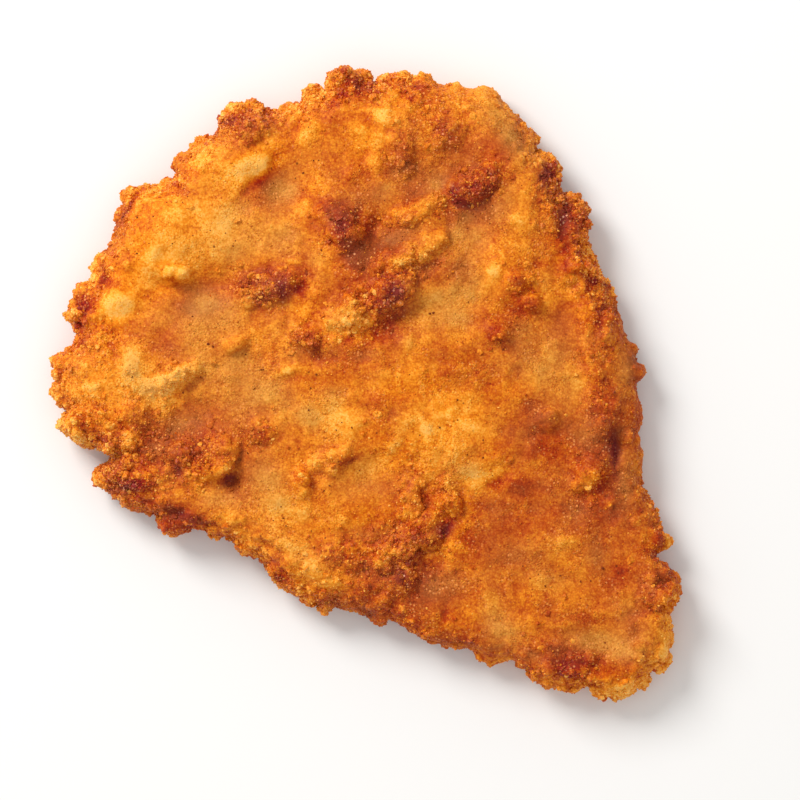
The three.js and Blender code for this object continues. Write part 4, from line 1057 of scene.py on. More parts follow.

# %% [markdown]
# ## Browning, with painted light and shade
# The crust's colour is mostly one story: how brown it has fried. Smooth hollows stay tan, swells turn golden,
# partly as painted light, crags and thin edges go red-brown, creases are browner as painted shade, and the
# deepest pockets get a painted plum-coloured shade. A noise alone would brown it anywhere, so soft fields,
# each a named place, say where it is browner or yellower, and some of them paint shadows and lit rims. So
# each point of the skin keeps four numbers, and the material turns them into colour: how browned and
# shaded, how pale, how plum-shaded and how craggy it is.

# %% Browned places, with painted shade and painted light
# Soft fields: x, y, reach along, reach across, turn in degrees, and percent: over 0 browner, under 0
# yellower. Where fields overlap they add up, so a small one often corrects the edge of a large one. Not
# all of it is browning: some fields paint shade, such as the shadow beside the dark ridge above the middle,
# and some paint light, such as the yellower rims on the left and along the top, which face the lamp, and
# the yellower ridge under the top left knobs.
BROWNED_SHADED_AND_LIT = [
    # upper left
    (-45, 35, 9, 7, 30, -3), (-31, 33, 6, 7, 0, -5), (-35, 50, 6, 4, 20, -8), (-53.5, 37, 2, 5, -15, 12),
    (-27, 59, 5, 3.5, 25, 12), (-22, 41.5, 5, 3, 15, 14), (-12, 32, 8, 6, 0, 6),
    (-24.5, 47.5, 5, 2, 15, -20), (-19.5, 53.5, 4, 2.4, 0, -16), (-28.5, 60, 3, 2, 20, -25),
    (-34, 33, 6, 8, 0, -12), (-37, 43, 4, 5, 0, -6), (-47, 35, 4, 4, 0, 8), (-40, 48, 2.4, 3, 0, 14),
    (-45, 32, 2.4, 3, 0, -8), (-30, 36, 2, 3, 0, -8), (-16, 36, 2, 3, 0, -10), (-40, 28, 3, 2, 0, -10),
    (-20, 61, 6, 1.6, 10, -14), (-45, 44, 5, 1.6, 10, -10), (-16, 57, 3, 2, 0, 8), (-28, 48, 2, 3, 0, 8),
    (-45, 34, 2.4, 2, 0, 8), (-20, 42, 4, 2, 0, 8), (-11, 36, 3, 3, 0, 8), (-24, 46.3, 3.4, 1.4, 20, -10),
    (-20, 53.5, 4, 2, 0, -6), (-30, 36, 2, 5, 0, -8), (-35, 41, 5, 3, 0, 10), (-27, 50, 3, 2, 0, 10),
    (-24, 40, 5, 3, 0, 8), (-28, 60.5, 4, 1.8, 20, -14), (-33, 32, 6, 7, 0, -8), (-38, 45, 2.4, 3, 0, 10),
    (-25, 52.5, 3, 2, 0, 10), (-20, 44, 3, 3, 0, 14), (-24.5, 47.3, 4.5, 1.8, 18, -14),
    (-29, 42, 2, 3, 0, -12), (-21, 42.5, 4, 4, 0, 16), (-40.5, 47, 3, 2.4, 0, 14),
    (-25, 46.5, 4, 2, 20, -14), (-49, 38, 4, 3, 0, -10), (-37, 36, 7, 6, 0, -5), (-27, 61, 4, 1.6, 20, -12),
    (-37, 53, 4, 1.6, 30, -10), (-54, 38, 2, 5, -20, -8), (-17, 57.5, 5, 2.4, 10, 10),
    # along the top
    (-3, 66, 4, 4, 0, 20), (9, 66.5, 7, 2.2, -10, 12), (3, 58.5, 6, 3.5, 15, -8), (9, 51, 2.5, 5, -20, 12),
    (18, 55, 5, 3.5, -40, 12), (20, 52, 8, 5, 0, 10), (-4, 68, 3, 2, 0, -15), (9, 68, 7, 1.6, -5, -20),
    (25, 65, 6, 1.6, 0, -10), (10, 63, 4, 1.6, 0, 8), (0, 61, 5, 1.8, 0, -10), (-2, 57, 6, 3, 0, 12),
    (-8, 60.5, 3, 2, 0, 12), (-10, 64, 4, 3, 30, -12), (6, 67, 9, 1.6, -5, -10), (0, 52, 3, 2.4, 0, -10),
    (-8.5, 53, 2, 3, 0, 12), (10, 60, 6, 2, 20, -12), (27, 56.5, 3, 3, 0, -10), (20, 66, 6, 1.6, 0, -8),
    (28, 51, 7, 5, 0, 13), (0, 53.5, 3, 3, 0, -10), (-9, 65, 4, 1.6, 30, -14), (-8, 57, 2, 3, 0, 12),
    (26, 56, 8, 4, -30, 6),
    # above the middle
    (24, 43.5, 5.5, 3.5, 30, 18), (-5, 33, 7.5, 2.6, -65, 32), (0.5, 31.5, 5.5, 2.4, 75, 34),
    (-8, 39, 4, 2, -20, 12), (6, 31.5, 4, 2.4, 30, 20), (11, 44, 5, 5, 0, 20), (28, 38.5, 6, 2.4, 30, 12),
    (11, 42, 3, 3, 0, 14), (3, 42, 4, 3, 0, 8), (21, 35, 4, 3, 0, 10), (6, 29.5, 4, 1.6, 20, 14),
    (-5, 31, 4, 2.6, 20, -10), (13, 37, 3, 1.8, 35, -10), (28, 33, 3, 3, 0, 8), (0, 33, 2, 2, 0, -10),
    (24, 42, 2, 3, 0, -8), (5, 49, 3, 1.6, 0, -8), (1, 41, 4, 2.4, 0, 12), (6, 32, 4, 2.4, 20, 16),
    (14, 39.5, 3, 1.6, 30, -20), (20, 37, 4, 2, 0, 6), (-2, 30, 2.4, 4, 0, 12), (-7, 48, 3, 5, 0, 12),
    (15, 42, 12, 3, 30, 8), (26, 40, 2.4, 5, -30, 12), (14, 46, 4, 5, 0, 6), (3, 30, 5, 2, 20, 6),
    (-5, 36, 2.6, 5, -10, 24), (-2.5, 29, 2.2, 3.4, 25, 20), (25, 37, 6, 2.4, 35, 12), (20, 46, 5, 5, 0, 8),
    (0, 46, 5, 4, 0, 6), (8, 40, 5, 3, 0, 6), (2.5, 34, 2, 3, 0, -12), (12, 36, 2, 3, -20, -8),
    (4, 30, 5.5, 3, 25, 28), (22, 37.5, 9, 3, 0, 18), (5, 46.5, 8, 3, 0, 11), (-9, 43.5, 3, 3, 0, -20),
    # right shoulder
    (33, 53, 5, 4, -40, 16), (42, 48, 1.4, 2.4, 0, -12), (32, 54, 2.4, 2.6, -45, 20),
    (36, 54, 1.6, 6, 45, -10), (35, 18, 2, 2, 0, 8), (32, 54, 2.4, 2.4, -45, 16), (47, 20, 2, 3, 0, 14),
    (30, 44, 2, 6, -10, 8), (41, 48, 1.4, 3, 0, -14), (48, 33, 1.4, 7, 10, -14), (48, 23, 2, 3, 0, -10),
    (48, 19, 2, 4, 20, -10), (32, 55, 2.4, 3, -45, 12), (45, 34, 2, 4, -15, 14), (40, 47, 2, 3, 0, 10),
    (44, 36, 2.4, 4, -20, 14), (41.5, 42, 2, 3, 0, 12), (40, 26, 3, 2, 0, 12), (36, 50, 3, 3, 0, -10),
    (52, 21.5, 2.4, 4, 20, -14), (30, 60, 5, 3, -45, -10), (53, 24, 3, 5, 20, -24), (33, 22, 3, 3, 0, 12),
    (45, 25, 4, 2, 0, 10), (40, 34, 5, 8, 0, 10), (40, 47, 3, 5, -20, 10), (46, 35, 4, 7, -20, 10),
    (33, 40, 4, 11, 15, -8), (54.5, 16, 3, 8, 20, 12),
    # left
    (-34, 22, 8, 4, 0, 8), (-46, 22.5, 4, 2.4, 10, -20), (-36, 18, 4.4, 2.4, 0, 28),
    (-55, 21.5, 4, 1.6, 0, 10), (-62, 21, 2, 4, -20, -10), (-37, 17, 5, 2.4, 0, 14),
    (-60, 17, 2.4, 2.4, 0, 12), (-48, 24, 2, 4, 0, -12), (-44, 25.3, 2.4, 1.6, 0, 16),
    (-38, 24, 4, 2, 40, -10), (-60, 24, 2, 5, 20, -16), (-45, 26, 3, 5, 0, -10), (-44, 25.5, 3, 1.6, 0, 18),
    (-35, 18.5, 8, 2.4, 20, 16), (-41, 25, 4, 4, 0, -22), (-60, 26, 2, 5, 0, -16), (-50, 5, 2, 5, 0, -12),
    (-68, -3, 1.6, 5, 0, -14), (-58, 5, 3, 3, 0, 7), (-53, 15.5, 2.4, 2, 0, -6), (-44, 16, 2, 2, 0, -10),
    (-53, 1, 3, 3, 0, -8), (-42, -3, 2, 3, 0, -10), (-38, 1, 3, 1.6, 20, -10), (-35, 17, 5, 2, 10, 10),
    (-42, 9, 3, 5, 0, 6), (-54, 16, 3, 2, 0, -6), (-57, 11, 3, 2, 0, -8), (-46, -3, 2.4, 4, 0, -10),
    (-34, 17, 6, 2.2, 15, 10), (-43, 0, 4, 3, 0, -10), (-40, 20, 4, 2, 0, -8), (-59, 20, 4, 2.4, 30, 14),
    (-37, 17, 4, 2, 0, 8), (-43, 0.5, 6, 1.6, 20, -18), (-50.5, 3, 3, 4, 0, -10), (-55, 15.5, 3, 2.4, 0, -8),
    (-53, 16, 3, 2.4, 0, -12), (-33, 8, 2, 4, 0, 12), (-65, 14, 2, 4, 0, -14), (-42, 11, 3, 3, 0, 10),
    (-57, 11, 7, 3, 0, 2), (-52, 0, 11, 5, 0, -16), (-44, 9, 6, 3, -10, 4), (-45, -4, 5, 4, 0, -10),
    (-54, 16, 4, 3, 0, -10), (-57.5, 20, 3, 2, 0, 14), (-36.5, 16.5, 5, 2.6, -5, 20), (-62, -1, 6, 5, 0, -8),
    (-62.5, 17, 1.6, 4, 0, -6),
    # lower left
    (-24, -20, 3, 3, 0, 12), (-30, -10, 4, 4, 0, 8), (-55, -18, 4, 1.6, 0, 8), (-40, -30, 4, 1.6, 0, 10),
    (-28, -25, 3, 2, 0, 10), (-30, -18.5, 2, 2, 0, -14), (-13, -28, 2, 2.4, 0, -12),
    (-11, -17, 2, 2, 0, -10), (-12, -37, 2, 3, 0, -8), (-63, -12, 3, 1.6, 0, -10), (-55, -10, 3, 3, 0, -8),
    (-43, -7, 3, 2.4, 0, -6), (-46, -14, 3, 2.4, 0, 28), (-50, -17.5, 5, 2, 0, 10),
    (-24, -5.5, 3, 2.4, 0, 14), (-39, -9, 4, 2.4, 0, 12), (-12, -29, 3, 3, 0, 8), (-32, -6, 4, 3, 0, 6),
    (-34, -6, 5, 3, 0, 10), (-24, -19, 3, 4, 0, 12), (-48, -15, 5, 3, 0, -16), (-46, -23, 3, 2, 0, -8),
    (-12, -47, 5, 2, -25, -14), (-57, -23, 3, 2, -30, -10), (-14, -17, 4, 2, 30, -8),
    (-40, -12, 4.5, 5, 0, 16), (-54, -23, 4, 2.4, 0, 14), (-38, -27, 3, 2, 0, 12), (-23, -12, 2.4, 4, 0, 10),
    (-42, -27, 5, 3, -10, 18), (-27, -23, 2.4, 4, 0, 14), (-37, -5, 5, 3, 0, 8), (-49, -11, 3, 4, 0, -14),
    (-56, -14, 3, 2, 0, -12), (-31, -18, 3, 3, 0, -10), (-34, -24.5, 2.4, 3, 0, -12),
    (-18, -28, 6, 3, -30, -14), (-18, -39, 3, 1.6, -30, 10), (-45, -13.5, 5, 3, 0, 16),
    (-42, -19, 4, 4, 0, 12), (-62, -12, 3, 2, 0, -26), (-29, -31, 4, 2, -40, -18),
    (-22, -37.5, 4, 1.6, -40, -16), (-15, -45, 4, 1.6, -30, -12), (-60, -20, 3, 1.6, 0, -12),
    (-32, -26.5, 3, 4, 0, 8), (-66, -10, 3, 3, 0, -30), (-43, -24, 4, 3, 0, 14), (-42, -30, 4, 2, 0, 30),
    (-34, -8, 5, 5, 0, 14), (-26, -17, 3, 5, 0, 12), (-34, -28, 4, 2, 0, 8), (-18, -27, 5, 3, -20, -10),
    (-27, -32, 3, 2, -30, -10), (-51, -11, 6, 6, 0, 6), (-42, -8, 6, 4, -10, 8), (-37, -8, 8, 3, 0, 6),
    (-48, -17, 10, 4, 10, 5), (-51, -22.5, 6, 3, 5, 6), (-37, -31.5, 9, 1.6, -12, 16),
    (-31, -16, 4, 4, 0, 6), (-19, -42, 4, 2.4, -40, 14), (-12, -47, 6, 2, -20, 20),
    # left of the middle
    (-14, 22, 3, 2, 0, -8), (-18, 24, 5, 2, 0, 8), (-13, 26, 2, 3, 0, 12), (-20, 24.5, 4, 2, 0, 10),
    (-20, 15, 4, 2, 0, 12), (-28, 22, 3, 2, 0, 10), (-30, 2, 5, 2, 0, 4), (-25, 17.5, 4, 1.8, 30, -10),
    (-27, 15, 9, 3, 0, 6), (-20, 21, 6, 3.5, 15, 12), (-20, 20, 4, 2.4, 15, -5), (-20, 19.5, 3, 2.4, 0, 10),
    # middle
    (12, 25.5, 6, 2, 25, 14), (-3, 22.5, 5, 3, 30, 20), (-8, 18, 3, 2, 0, 8), (20, 24, 2, 2.4, 0, 10),
    (3, 22, 2, 3, 0, 10), (12, 18, 4, 1.6, 10, -16), (-8, 24.5, 1.6, 3, 0, -10), (-0.5, 20, 1.6, 3, 0, -12),
    (10.5, 27, 4, 1.6, 20, -10), (19, 25, 6, 3, 10, 12), (-5.5, 20.5, 6, 2.4, 45, 16),
    (13, 27, 5, 2, 25, -16), (5, 20, 5, 4.5, 35, 16), (4, 13, 5, 2.6, 25, 10), (-3, 6.5, 7, 2.5, 15, 8),
    (-4, 12.5, 6, 2, 15, -14), (0, 5, 9, 3, 25, 12), (13, 4, 6, 5, 0, -8), (22, -4, 4, 3, 0, -16),
    (18, 24, 4, 2.4, 0, 12), (21, 6, 8, 4.5, -8, 8), (28, 1, 9, 5, -10, 2), (27, 23, 3, 4, 0, -8),
    (2, 2, 8, 4, 10, 3), (5, 11.5, 3, 2, 20, 10), (-3, 7, 5, 2, 15, 8), (6, 18, 3, 3, 0, -5),
    (5, 13.5, 6, 1.6, 15, -10), (-4, 12.5, 4, 1.6, 15, -8), (10, 8, 1.8, 4, 0, -12), (5, -1, 3, 2, 0, -8),
    (8, 20, 3, 3, 0, 10), (23, -4, 3, 2.4, 0, -12), (27, 5, 4, 3, 0, -8), (13, 13, 4, 1.8, 10, 10),
    (7, 8, 3, 2, 30, 8), (5, 13, 5, 1.6, 15, -10), (-6, 0, 5, 2, 10, 12), (5, 9, 3, 2, 20, 12),
    (23, 23, 3, 2, 0, 8),
    # right edge
    (54, 10, 2, 3, 0, -18), (33, 8, 2.4, 5, 0, 16), (31, 14, 4, 2, 0, 8), (59, 4, 1.4, 2.4, 0, 10),
    (33, 9, 2.4, 4, 0, 12), (58.5, 5, 1.8, 3.4, 0, 24), (52, -18, 2, 3, 0, -14), (60, -20, 1.4, 4, 0, -12),
    (47, -24, 2.4, 2, 0, -12), (45, -12, 2.4, 4, 0, 10), (40, -22, 4, 2, 0, 6), (35, -30, 4, 3, 0, 8),
    (36, -7, 4, 3, -20, 6), (46, 2, 2, 4, 0, -12), (50, -15, 3, 4, 0, 24), (50, -7, 3, 4, 0, 12),
    (46, -27, 5, 4, 0, 16), (40, -15, 5, 5, 0, 6), (56, -24, 3, 5, 0, 6), (53, -13, 2, 4, 0, 10),
    (50, -19, 3, 4, -20, -12), (48, 14, 2, 4, 0, 8), (50, -4, 3, 4, 0, 8), (42, 12, 2, 6, 0, 6),
    (56, -22, 2.4, 6, 0, 8), (57, 0, 2, 3, 0, -10), (34, -20, 4, 4, 0, 6), (48, -26, 3, 2.4, 0, 14),
    (55, -26, 3, 6, 0, 10), (34, -13, 4, 4, 0, 10), (50, -17, 3, 4, 0, 8), (60, -8, 1.6, 10, 0, 12),
    (43, 4, 3, 5, 0, 8), (47, -4, 2.4, 6, 0, -22), (49, -22, 3.4, 3, 30, -30), (57, -15, 2.4, 8, 0, 14),
    (42.5, 11, 2.4, 7, 0, 12), (37, -22, 9, 2.6, 5, 14), (38, -7, 4, 3, 20, 12), (58, 3, 2, 3, 0, 10),
    (49, 12, 3, 9, 0, 8), (33.5, 15.5, 3, 5, -15, 24), (53, 12, 5, 12, 10, 20), (38, -10, 9, 6, 0, 20),
    (51, -8, 7, 12, 0, 16), (41, 13, 3, 6, 0, 10), (60, 4, 2.4, 5, 0, 12), (40, 5, 4, 8, 0, -5),
    (57.5, -4, 2.5, 14, 0, 12), (51, -20, 5, 5, 60, 10), (45, -10, 5, 6, 0, 10), (37, -9, 4, 6, 0, 8),
    (59, -24, 3, 8, 5, 6), (47, -27, 3, 3, 0, 6), (35, -22, 5, 3, 20, 6), (30, -30, 6, 6, 0, 5),
    (56, -28, 7, 8, 0, 8), (33, -25, 10, 6, 0, 8),
    # below the middle
    (-10, -6, 4, 3, 0, -8), (27, -20, 6, 1.8, 5, -16), (7, -15.5, 5, 3, 15, -12), (14, -18, 5, 4, 0, -8),
    (-9, -6, 5, 4, 0, -6), (-8, -8, 8, 5, 20, -8), (12, -8, 8, 4, 10, -6), (21, -10, 7, 3.5, 20, -8),
    (20, -15, 4, 3, 0, -8), (12, -11, 3, 3, 0, -6), (0, -17, 4, 2, 0, -6), (-1, -8.5, 2.4, 3, 0, -12),
    (22, -28, 5, 1.6, 0, -8), (17, -23, 2, 4, 0, 10), (-1, -20, 4, 3, 0, -8), (5, -22.5, 6, 2.4, 10, 12),
    (13, -27, 2.4, 3, 0, 14), (24.5, -20, 8, 1.6, 5, -22), (2, -18, 6, 1.8, 10, -14), (10, -10, 4, 3, 0, -8),
    (-8, -6, 3.4, 2.4, 0, -12), (13, -5, 3, 4, 0, -12), (17, -29, 4, 2, 20, -16), (-4, -22, 8, 3, 10, 8),
    # the bottom
    (13, -45, 3, 3, 0, 8), (15, -45.5, 5, 3, 0, 12), (6, -44, 2, 2, 0, 8), (12, -36, 4, 3, 0, -10),
    (12.5, -52, 2, 3, 0, -8), (15, -43, 5, 4, 0, 12), (8, -34, 6, 5, 0, 12), (15, -31, 5, 3, 20, 10),
    (8, -42, 5, 5, 0, 14), (2, -49, 7, 3, -10, 20), (0, -41, 6, 4, 0, 8), (-6, -37, 4, 3, 0, 6),
    (10, -50, 6, 4, -15, 16), (18, -56, 8, 2, -15, 16), (18, -53, 2, 3, 0, 10), (26, -54, 3, 2, 0, 8),
    (27, -49, 3, 2.4, 0, -10), (28, -61, 4, 1.6, 0, -16), (18, -48, 3, 3, 0, 6), (28, -54, 4, 2, 0, 8),
    (14, -45, 8, 2.6, 5, 12), (23, -44, 2, 6, 0, -10), (-3, -46, 6, 2, -10, 8), (19, -57, 6, 1.6, -10, 16),
    (20, -45, 8, 5, 20, 10), (29, -60.5, 4, 1.5, 0, -12), (27, -33, 6, 5, 0, 13), (28, -60.5, 4, 1.5, 0, 16),
    # the tail
    (48, -34, 4, 4, 0, 10), (32, -38, 5, 3, 0, 12), (55, -43, 3, 2.4, 0, 14), (58, -55, 2, 4, 0, 10),
    (67, -55, 1.6, 8, 0, -12), (30, -60.5, 4, 1.6, 0, -8), (56, -67, 5, 2, 0, -10), (64, -46, 3, 2.4, 0, 12),
    (45, -62, 4, 2, 0, 10), (67, -44, 1.6, 3, 0, -10), (62, -40, 3, 4, 0, 6), (54, -62, 5, 2, 0, 8),
    (62, -44, 3, 4, 0, 14), (57, -57, 2, 4, 0, 10), (36, -60, 2, 3, 0, 10), (63, -62, 3, 3, 0, -10),
    (40, -65, 3, 1.4, 0, -12), (46, -57, 5, 3, 0, 6), (41, -51, 4, 3, 0, 6), (66, -35, 1.6, 3, 0, -16),
    (47, -58, 6, 3, 0, 8), (56, -60, 6, 2, 0, 10), (67, -40, 2, 4, -30, 12), (35, -53, 4, 3, 0, -14),
    (42, -37, 4, 2.4, 0, -14), (61, -65, 5, 2, 20, -22), (52, -52, 8, 3, 0, 10), (60, -51, 4, 3, 0, 8),
    (66, -36, 2, 2, 0, -12), (48, -36, 22, 18, 0, 11), (34, -37, 6, 4, 0, 12), (61, -37, 4, 6, 0, 10),
    (48, -58, 9, 3.5, 0, 8), (32, -52, 12, 6, -15, 6), (64, -56, 3, 7, 0, -12), (57, -68, 5, 3, 0, -22),
    (38, -31, 8, 4, -10, 4), (54, -31, 4, 6, 10, 6), (66, -43, 3, 4, -40, 10), (65, -34, 2, 3, 20, 12),
    (43, -60, 7, 3, 5, 18), (36, -60, 4, 2.4, 0, 8), (56, -66, 5, 3, 0, 5), (48, -44, 10, 6, 0, -2),
]
print(len(BROWNED_SHADED_AND_LIT), "browner and yellower fields")

# %% Pale places and painted plum shade
# Pale, tan places where little browning shows: x, y, reach along, reach across, turn, percent.
PALE = [
    (14, 41.5, 3, 2, 20, 40), (46, -1, 3, 4, 0, 30), (-47, 24, 2, 3, 0, 30), (-38, 10, 2.4, 4, 0, 25),
    (-22, -21, 4, 3, 0, 25), (-30, -25, 6, 2, -10, 20), (58, -50, 4, 6, 0, 20), (33, 4, 6, 4, -30, 30),
    (-46, -14.5, 5, 3, 0, 40), (0, 41, 7, 3, 0, 40), (-20, 30, 6, 2.4, 0, 30), (48, -12, 4, 4, 0, 40),
    (-25, -5, 9, 5, 0, 25), (50, -37, 3, 4, 0, 35), (46, -28, 4, 6, 0, 25), (-38, 20, 6, 3, 0, 30),
    (32, -55, 4, 4, 0, 40), (57, -60, 4, 2, 0, 40), (-22, -18, 6, 4, 0, 25), (8, 32, 5, 2, 0, 30),
    (24, 22, 2, 3, 0, 40), (57, 3, 2, 5, 0, 40), (34, 11, 3, 4, 0, 30), (-18, 12, 4, 4, 0, 25),
    (-15, 6, 3, 2, 0, 30), (0, -33, 4, 2, 0, 40), (35, -38, 6, 4, 0, 25), (-24.5, 47.3, 5, 3, 18, -60),
    (-44, 25.5, 4, 2, 0, -40), (33, 53.5, 6, 3.4, -50, 60), (29, 38, 3, 7, -30, 40),
    (-33, -25.5, 4, 3, 0, 50), (18, -44, 5, 4, 0, 40), (-40, -8, 6, 3, 0, 40), (-24, 4, 5, 6, 0, 25),
    (-17, -4, 4, 5, 0, 30), (-29, 15, 4, 4, 0, 25), (-32, 33, 5, 6, 0, 20), (37, -60, 3, 2, 0, 30),
    (-43, 15, 4, 3, 0, 25), (-18, 43, 5, 4, 60, 25), (-22, 34, 8, 6, 20, 35), (-33, 2, 9, 6, 0, 40),
    (-35, 14, 7, 5, 0, 40), (-12, -7, 3, 3, 0, 50), (-7, -2, 3, 2, 0, 40), (-22, -2, 3, 2, 30, 50),
    (17, 17, 7, 4.5, 20, 60), (22, 31, 4, 6, 0, 40), (12, 46, 8, 4, 15, 35), (-20, -26, 6, 4, 0, 40),
    (-13, -38, 7, 3, -20, 35), (52, -56.5, 7, 2.5, -5, 70), (28, -51, 3, 4, 0, 45), (40, 4, 5, 9, 0, 35),
    (40, -43, 5, 2.5, 0, 30), (-47, -1, 3, 2, 0, 50), (-52, 4, 2, 3, 0, 40), (0, -22, 6, 4, 0, 25),
    (28, 60, 4, 4, 0, 30), (57, -20, 2.5, 10, 5, 25), (21, -18.5, 3, 1.5, 10, 40), (-5, 15, 4, 2.5, 30, 30),
]
# Deepest pockets and clefts, where a plum-coloured shade is painted: x, y, reach along, reach across, turn,
# percent.
PLUM_SHADE_POCKETS = [
    (-20, 20.5, 5, 3, 15, 42), (5, 18.5, 5, 4, 35, 40), (-5, 36, 2.4, 5, -10, 40), (-2, 29, 2.4, 3, 20, 40),
    (23, 41, 4, 3, 30, 30), (8, -41, 4, 3, 0, 30), (45, -62, 5, 2.4, 0, 25), (18, 55, 3, 3, 0, 25),
    (-62, 16, 2, 4, 0, 20), (54, -13, 1.8, 4, 0, 40), (-52, -23, 3, 2, 0, 20), (-26, 47, 3, 2, 0, 10),
    (43.5, 37, 1.4, 3, -10, 90), (39.5, 46, 1.3, 2.6, -15, 80), (-17.8, 20.8, 2.4, 2.2, 0, 60),
    (7, 20.3, 2.2, 2.2, 0, 60), (-29.8, -20.8, 1.8, 1.8, 0, 80), (-40, -28.6, 2.6, 0.9, -15, 80),
    (-52, -22.5, 4, 1.3, 10, 60), (-41, -18.5, 1.2, 1.5, 20, 60), (19.5, 42, 1.3, 1.8, 0, 60),
    (22, 39.5, 2.4, 1, -10, 50), (17, -32, 3, 1.3, 30, 70), (7.5, -42, 1.6, 1.6, 0, 70),
    (54.5, -15.5, 1.1, 4.5, 0, 70), (-5.5, 34.5, 1.2, 2.4, -10, 20), (52, 23, 1.6, 3, 20, 30),
]
print(len(PALE), "pale places,", len(PLUM_SHADE_POCKETS), "plum-coloured pockets")

# %% The four numbers of each point
PLAIN_BROWN = 0.4  # browning of plain level crust
CRAGGY_BROWN = 0.08  # browning added on crags
SIDE_BROWN = 0.1  # on steep sides
SIDE_FACING = 0.6  # sides begin where the normal points up by less than this
SIDE_RANGE = 0.9  # and are fully steep where it points up by this much less
LOW_BROWN = 0.03  # near the table
LOW_HEIGHT = 7  # nearness to the table begins at this height
FINE_HOLLOW_SHADE = 0.6  # painted shade: browning for each millimetre of a fine hollow, and less on a bump
WIDE_HOLLOW_SHADE = 0.15  # painted shade: browning for each millimetre of a wider hollow, and less on a bump
FINE_LIMITS = (-0.15, 0.3)  # bumps and hollows beyond these count as these
MIDDLING_LIMITS = (-0.3, 0.4)
MOTTLE = [(0.12, 9, 3), (0.16, 3.4, 5)]  # strength, size and seed of the browning's mottle
PALE_MOTTLE, PALE_MOTTLE_SIZE = 0.3, 7
PLAIN_PALE = 0.15
PALE_GAIN = 1.3
CRAGGY_PALE = 0.6  # share of its paleness that a crag loses


def hollowness(mesh, times):
    """How far a point lies under the mean of its neighbourhood, along its normal, in millimetres."""
    points = read_points(mesh)
    blurred = neighbours_mean(mesh, points, times)
    return np.einsum("ij,ij->i", blurred - points, read_normals(mesh))


def browning_and_shade(mesh):
    """The four numbers of each point, from 0 to 1: browned, pale, plum shade and craggy. Browned is a plain
    value plus fields, forms and a mottle, and more on crags, steep sides and low down. It holds painted shade
    as well: browner in hollows and yellower on bumps, and the shade and light that some fields and forms
    paint. Plum is a shade painted in the deepest pockets."""
    points, normals = read_points(mesh), read_normals(mesh)
    x, y, z = points.T
    craggy = crumbliness(x, y)
    fine, middling = hollowness(mesh, 2), hollowness(mesh, 8)
    side = np.clip((SIDE_FACING - normals[:, 2]) / SIDE_RANGE, 0, 1)
    low = np.clip(1 - z / LOW_HEIGHT, 0, 1)
    mottle = sum(strength * layered_noise(points, size, seed) for strength, size, seed in MOTTLE)
    form_brown_and_shade, form_pale = forms(x, y)[1:]
    # Fields and forms paint shade and light here, as well as browning.
    brown_and_shade = PLAIN_BROWN + PERCENT * hills(x, y, BROWNED_SHADED_AND_LIT) + form_brown_and_shade + mottle
    brown_and_shade += CRAGGY_BROWN * craggy + SIDE_BROWN * side + LOW_BROWN * low
    # Painted shade: browner in hollows, and yellower on bumps.
    brown_and_shade += FINE_HOLLOW_SHADE * np.clip(fine, *FINE_LIMITS) + WIDE_HOLLOW_SHADE * np.clip(middling, *MIDDLING_LIMITS)
    pale = PALE_GAIN * PERCENT * hills(x, y, PALE) + form_pale + PLAIN_PALE
    pale *= 1 - CRAGGY_PALE * craggy
    pale += PALE_MOTTLE * layered_noise(points, PALE_MOTTLE_SIZE, 9)
    # Painted shade: the plum colour lies in the listed pockets, and more where the skin is hollow.
    plum_shade = PERCENT * hills(x, y, PLUM_SHADE_POCKETS) * np.clip(0.8 + 0.8 * middling, 0, 1)
    return [np.clip(values, 0, 1) for values in (brown_and_shade, pale, plum_shade, craggy)]


def keep_numbers(mesh, name, values):
    """Stores four numbers for each point as a colour attribute, which the material reads by name."""
    attribute = mesh.attributes.new(name, "FLOAT_COLOR", "POINT")
    attribute.data.foreach_set("color", values.astype(np.float32).reshape(-1))


crust_fry_and_shade = np.stack(browning_and_shade(crust.data), axis=1)
keep_numbers(crust.data, "fry_and_shade", crust_fry_and_shade)
print("browned", crust_fry_and_shade[:, 0].mean().round(2), "pale", crust_fry_and_shade[:, 1].mean().round(2))


# %% [markdown]
# ## The crust's material
# A ramp turns browning into colour, from straw through gold and orange to red-brown. Pale places fade to tan
# and deep pockets to a painted plum shade. Fine patterns then move each grain a little along the ramp, with
# painted shade in the gaps between grains, or lay a spot on it: painted highlights on tips, painted glints,
# flecks of paprika and tiny specks of pepper. They are strong on rough batter and weak on smooth, so crags
# sparkle and hollows stay calm. An image would blur close up, and these nodes don't.
# Fried batter lets some light in, so the shader has a little subsurface, and oil makes the crags glossier.

# %% Colours of frying
def srgb(red, green, blue):
    """A display colour of 0 to 255 as the linear colour that shaders use."""
    share = np.array([red, green, blue]) / 255
    linear = np.where(share <= 0.04045, share / 12.92, ((share + 0.055) / 1.055) ** 2.4)
    return (*linear, 1.0)


FRY_RAMP = [  # browning and its colour
    (0.00, srgb(255, 188, 90)),
    (0.14, srgb(249, 166, 56)),
    (0.28, srgb(234, 138, 26)),
    (0.44, srgb(208, 106, 14)),
    (0.60, srgb(184, 73, 8)),
    (0.78, srgb(158, 38, 6)),
    (1.00, srgb(126, 20, 10)),
]
TAN_DARK = srgb(174, 104, 30)
TAN_LIGHT = srgb(226, 160, 74)
# Painted shade for the deepest pockets and clefts.
PAINTED_PLUM_SHADE = srgb(118, 34, 42)
PEPPER = srgb(96, 40, 14)
# Painted highlight laid on the tips of grains.
PAINTED_TIP_HIGHLIGHT = srgb(246, 156, 80)
# Painted glints: light spots laid into the colour on rough, browned batter, pinkish in the pockets of painted
# plum shade.
PAINTED_GLINT_COLOUR = srgb(250, 164, 90)
PAINTED_PINK_GLINT = srgb(255, 200, 172)
print("ramp of", len(FRY_RAMP), "colours")


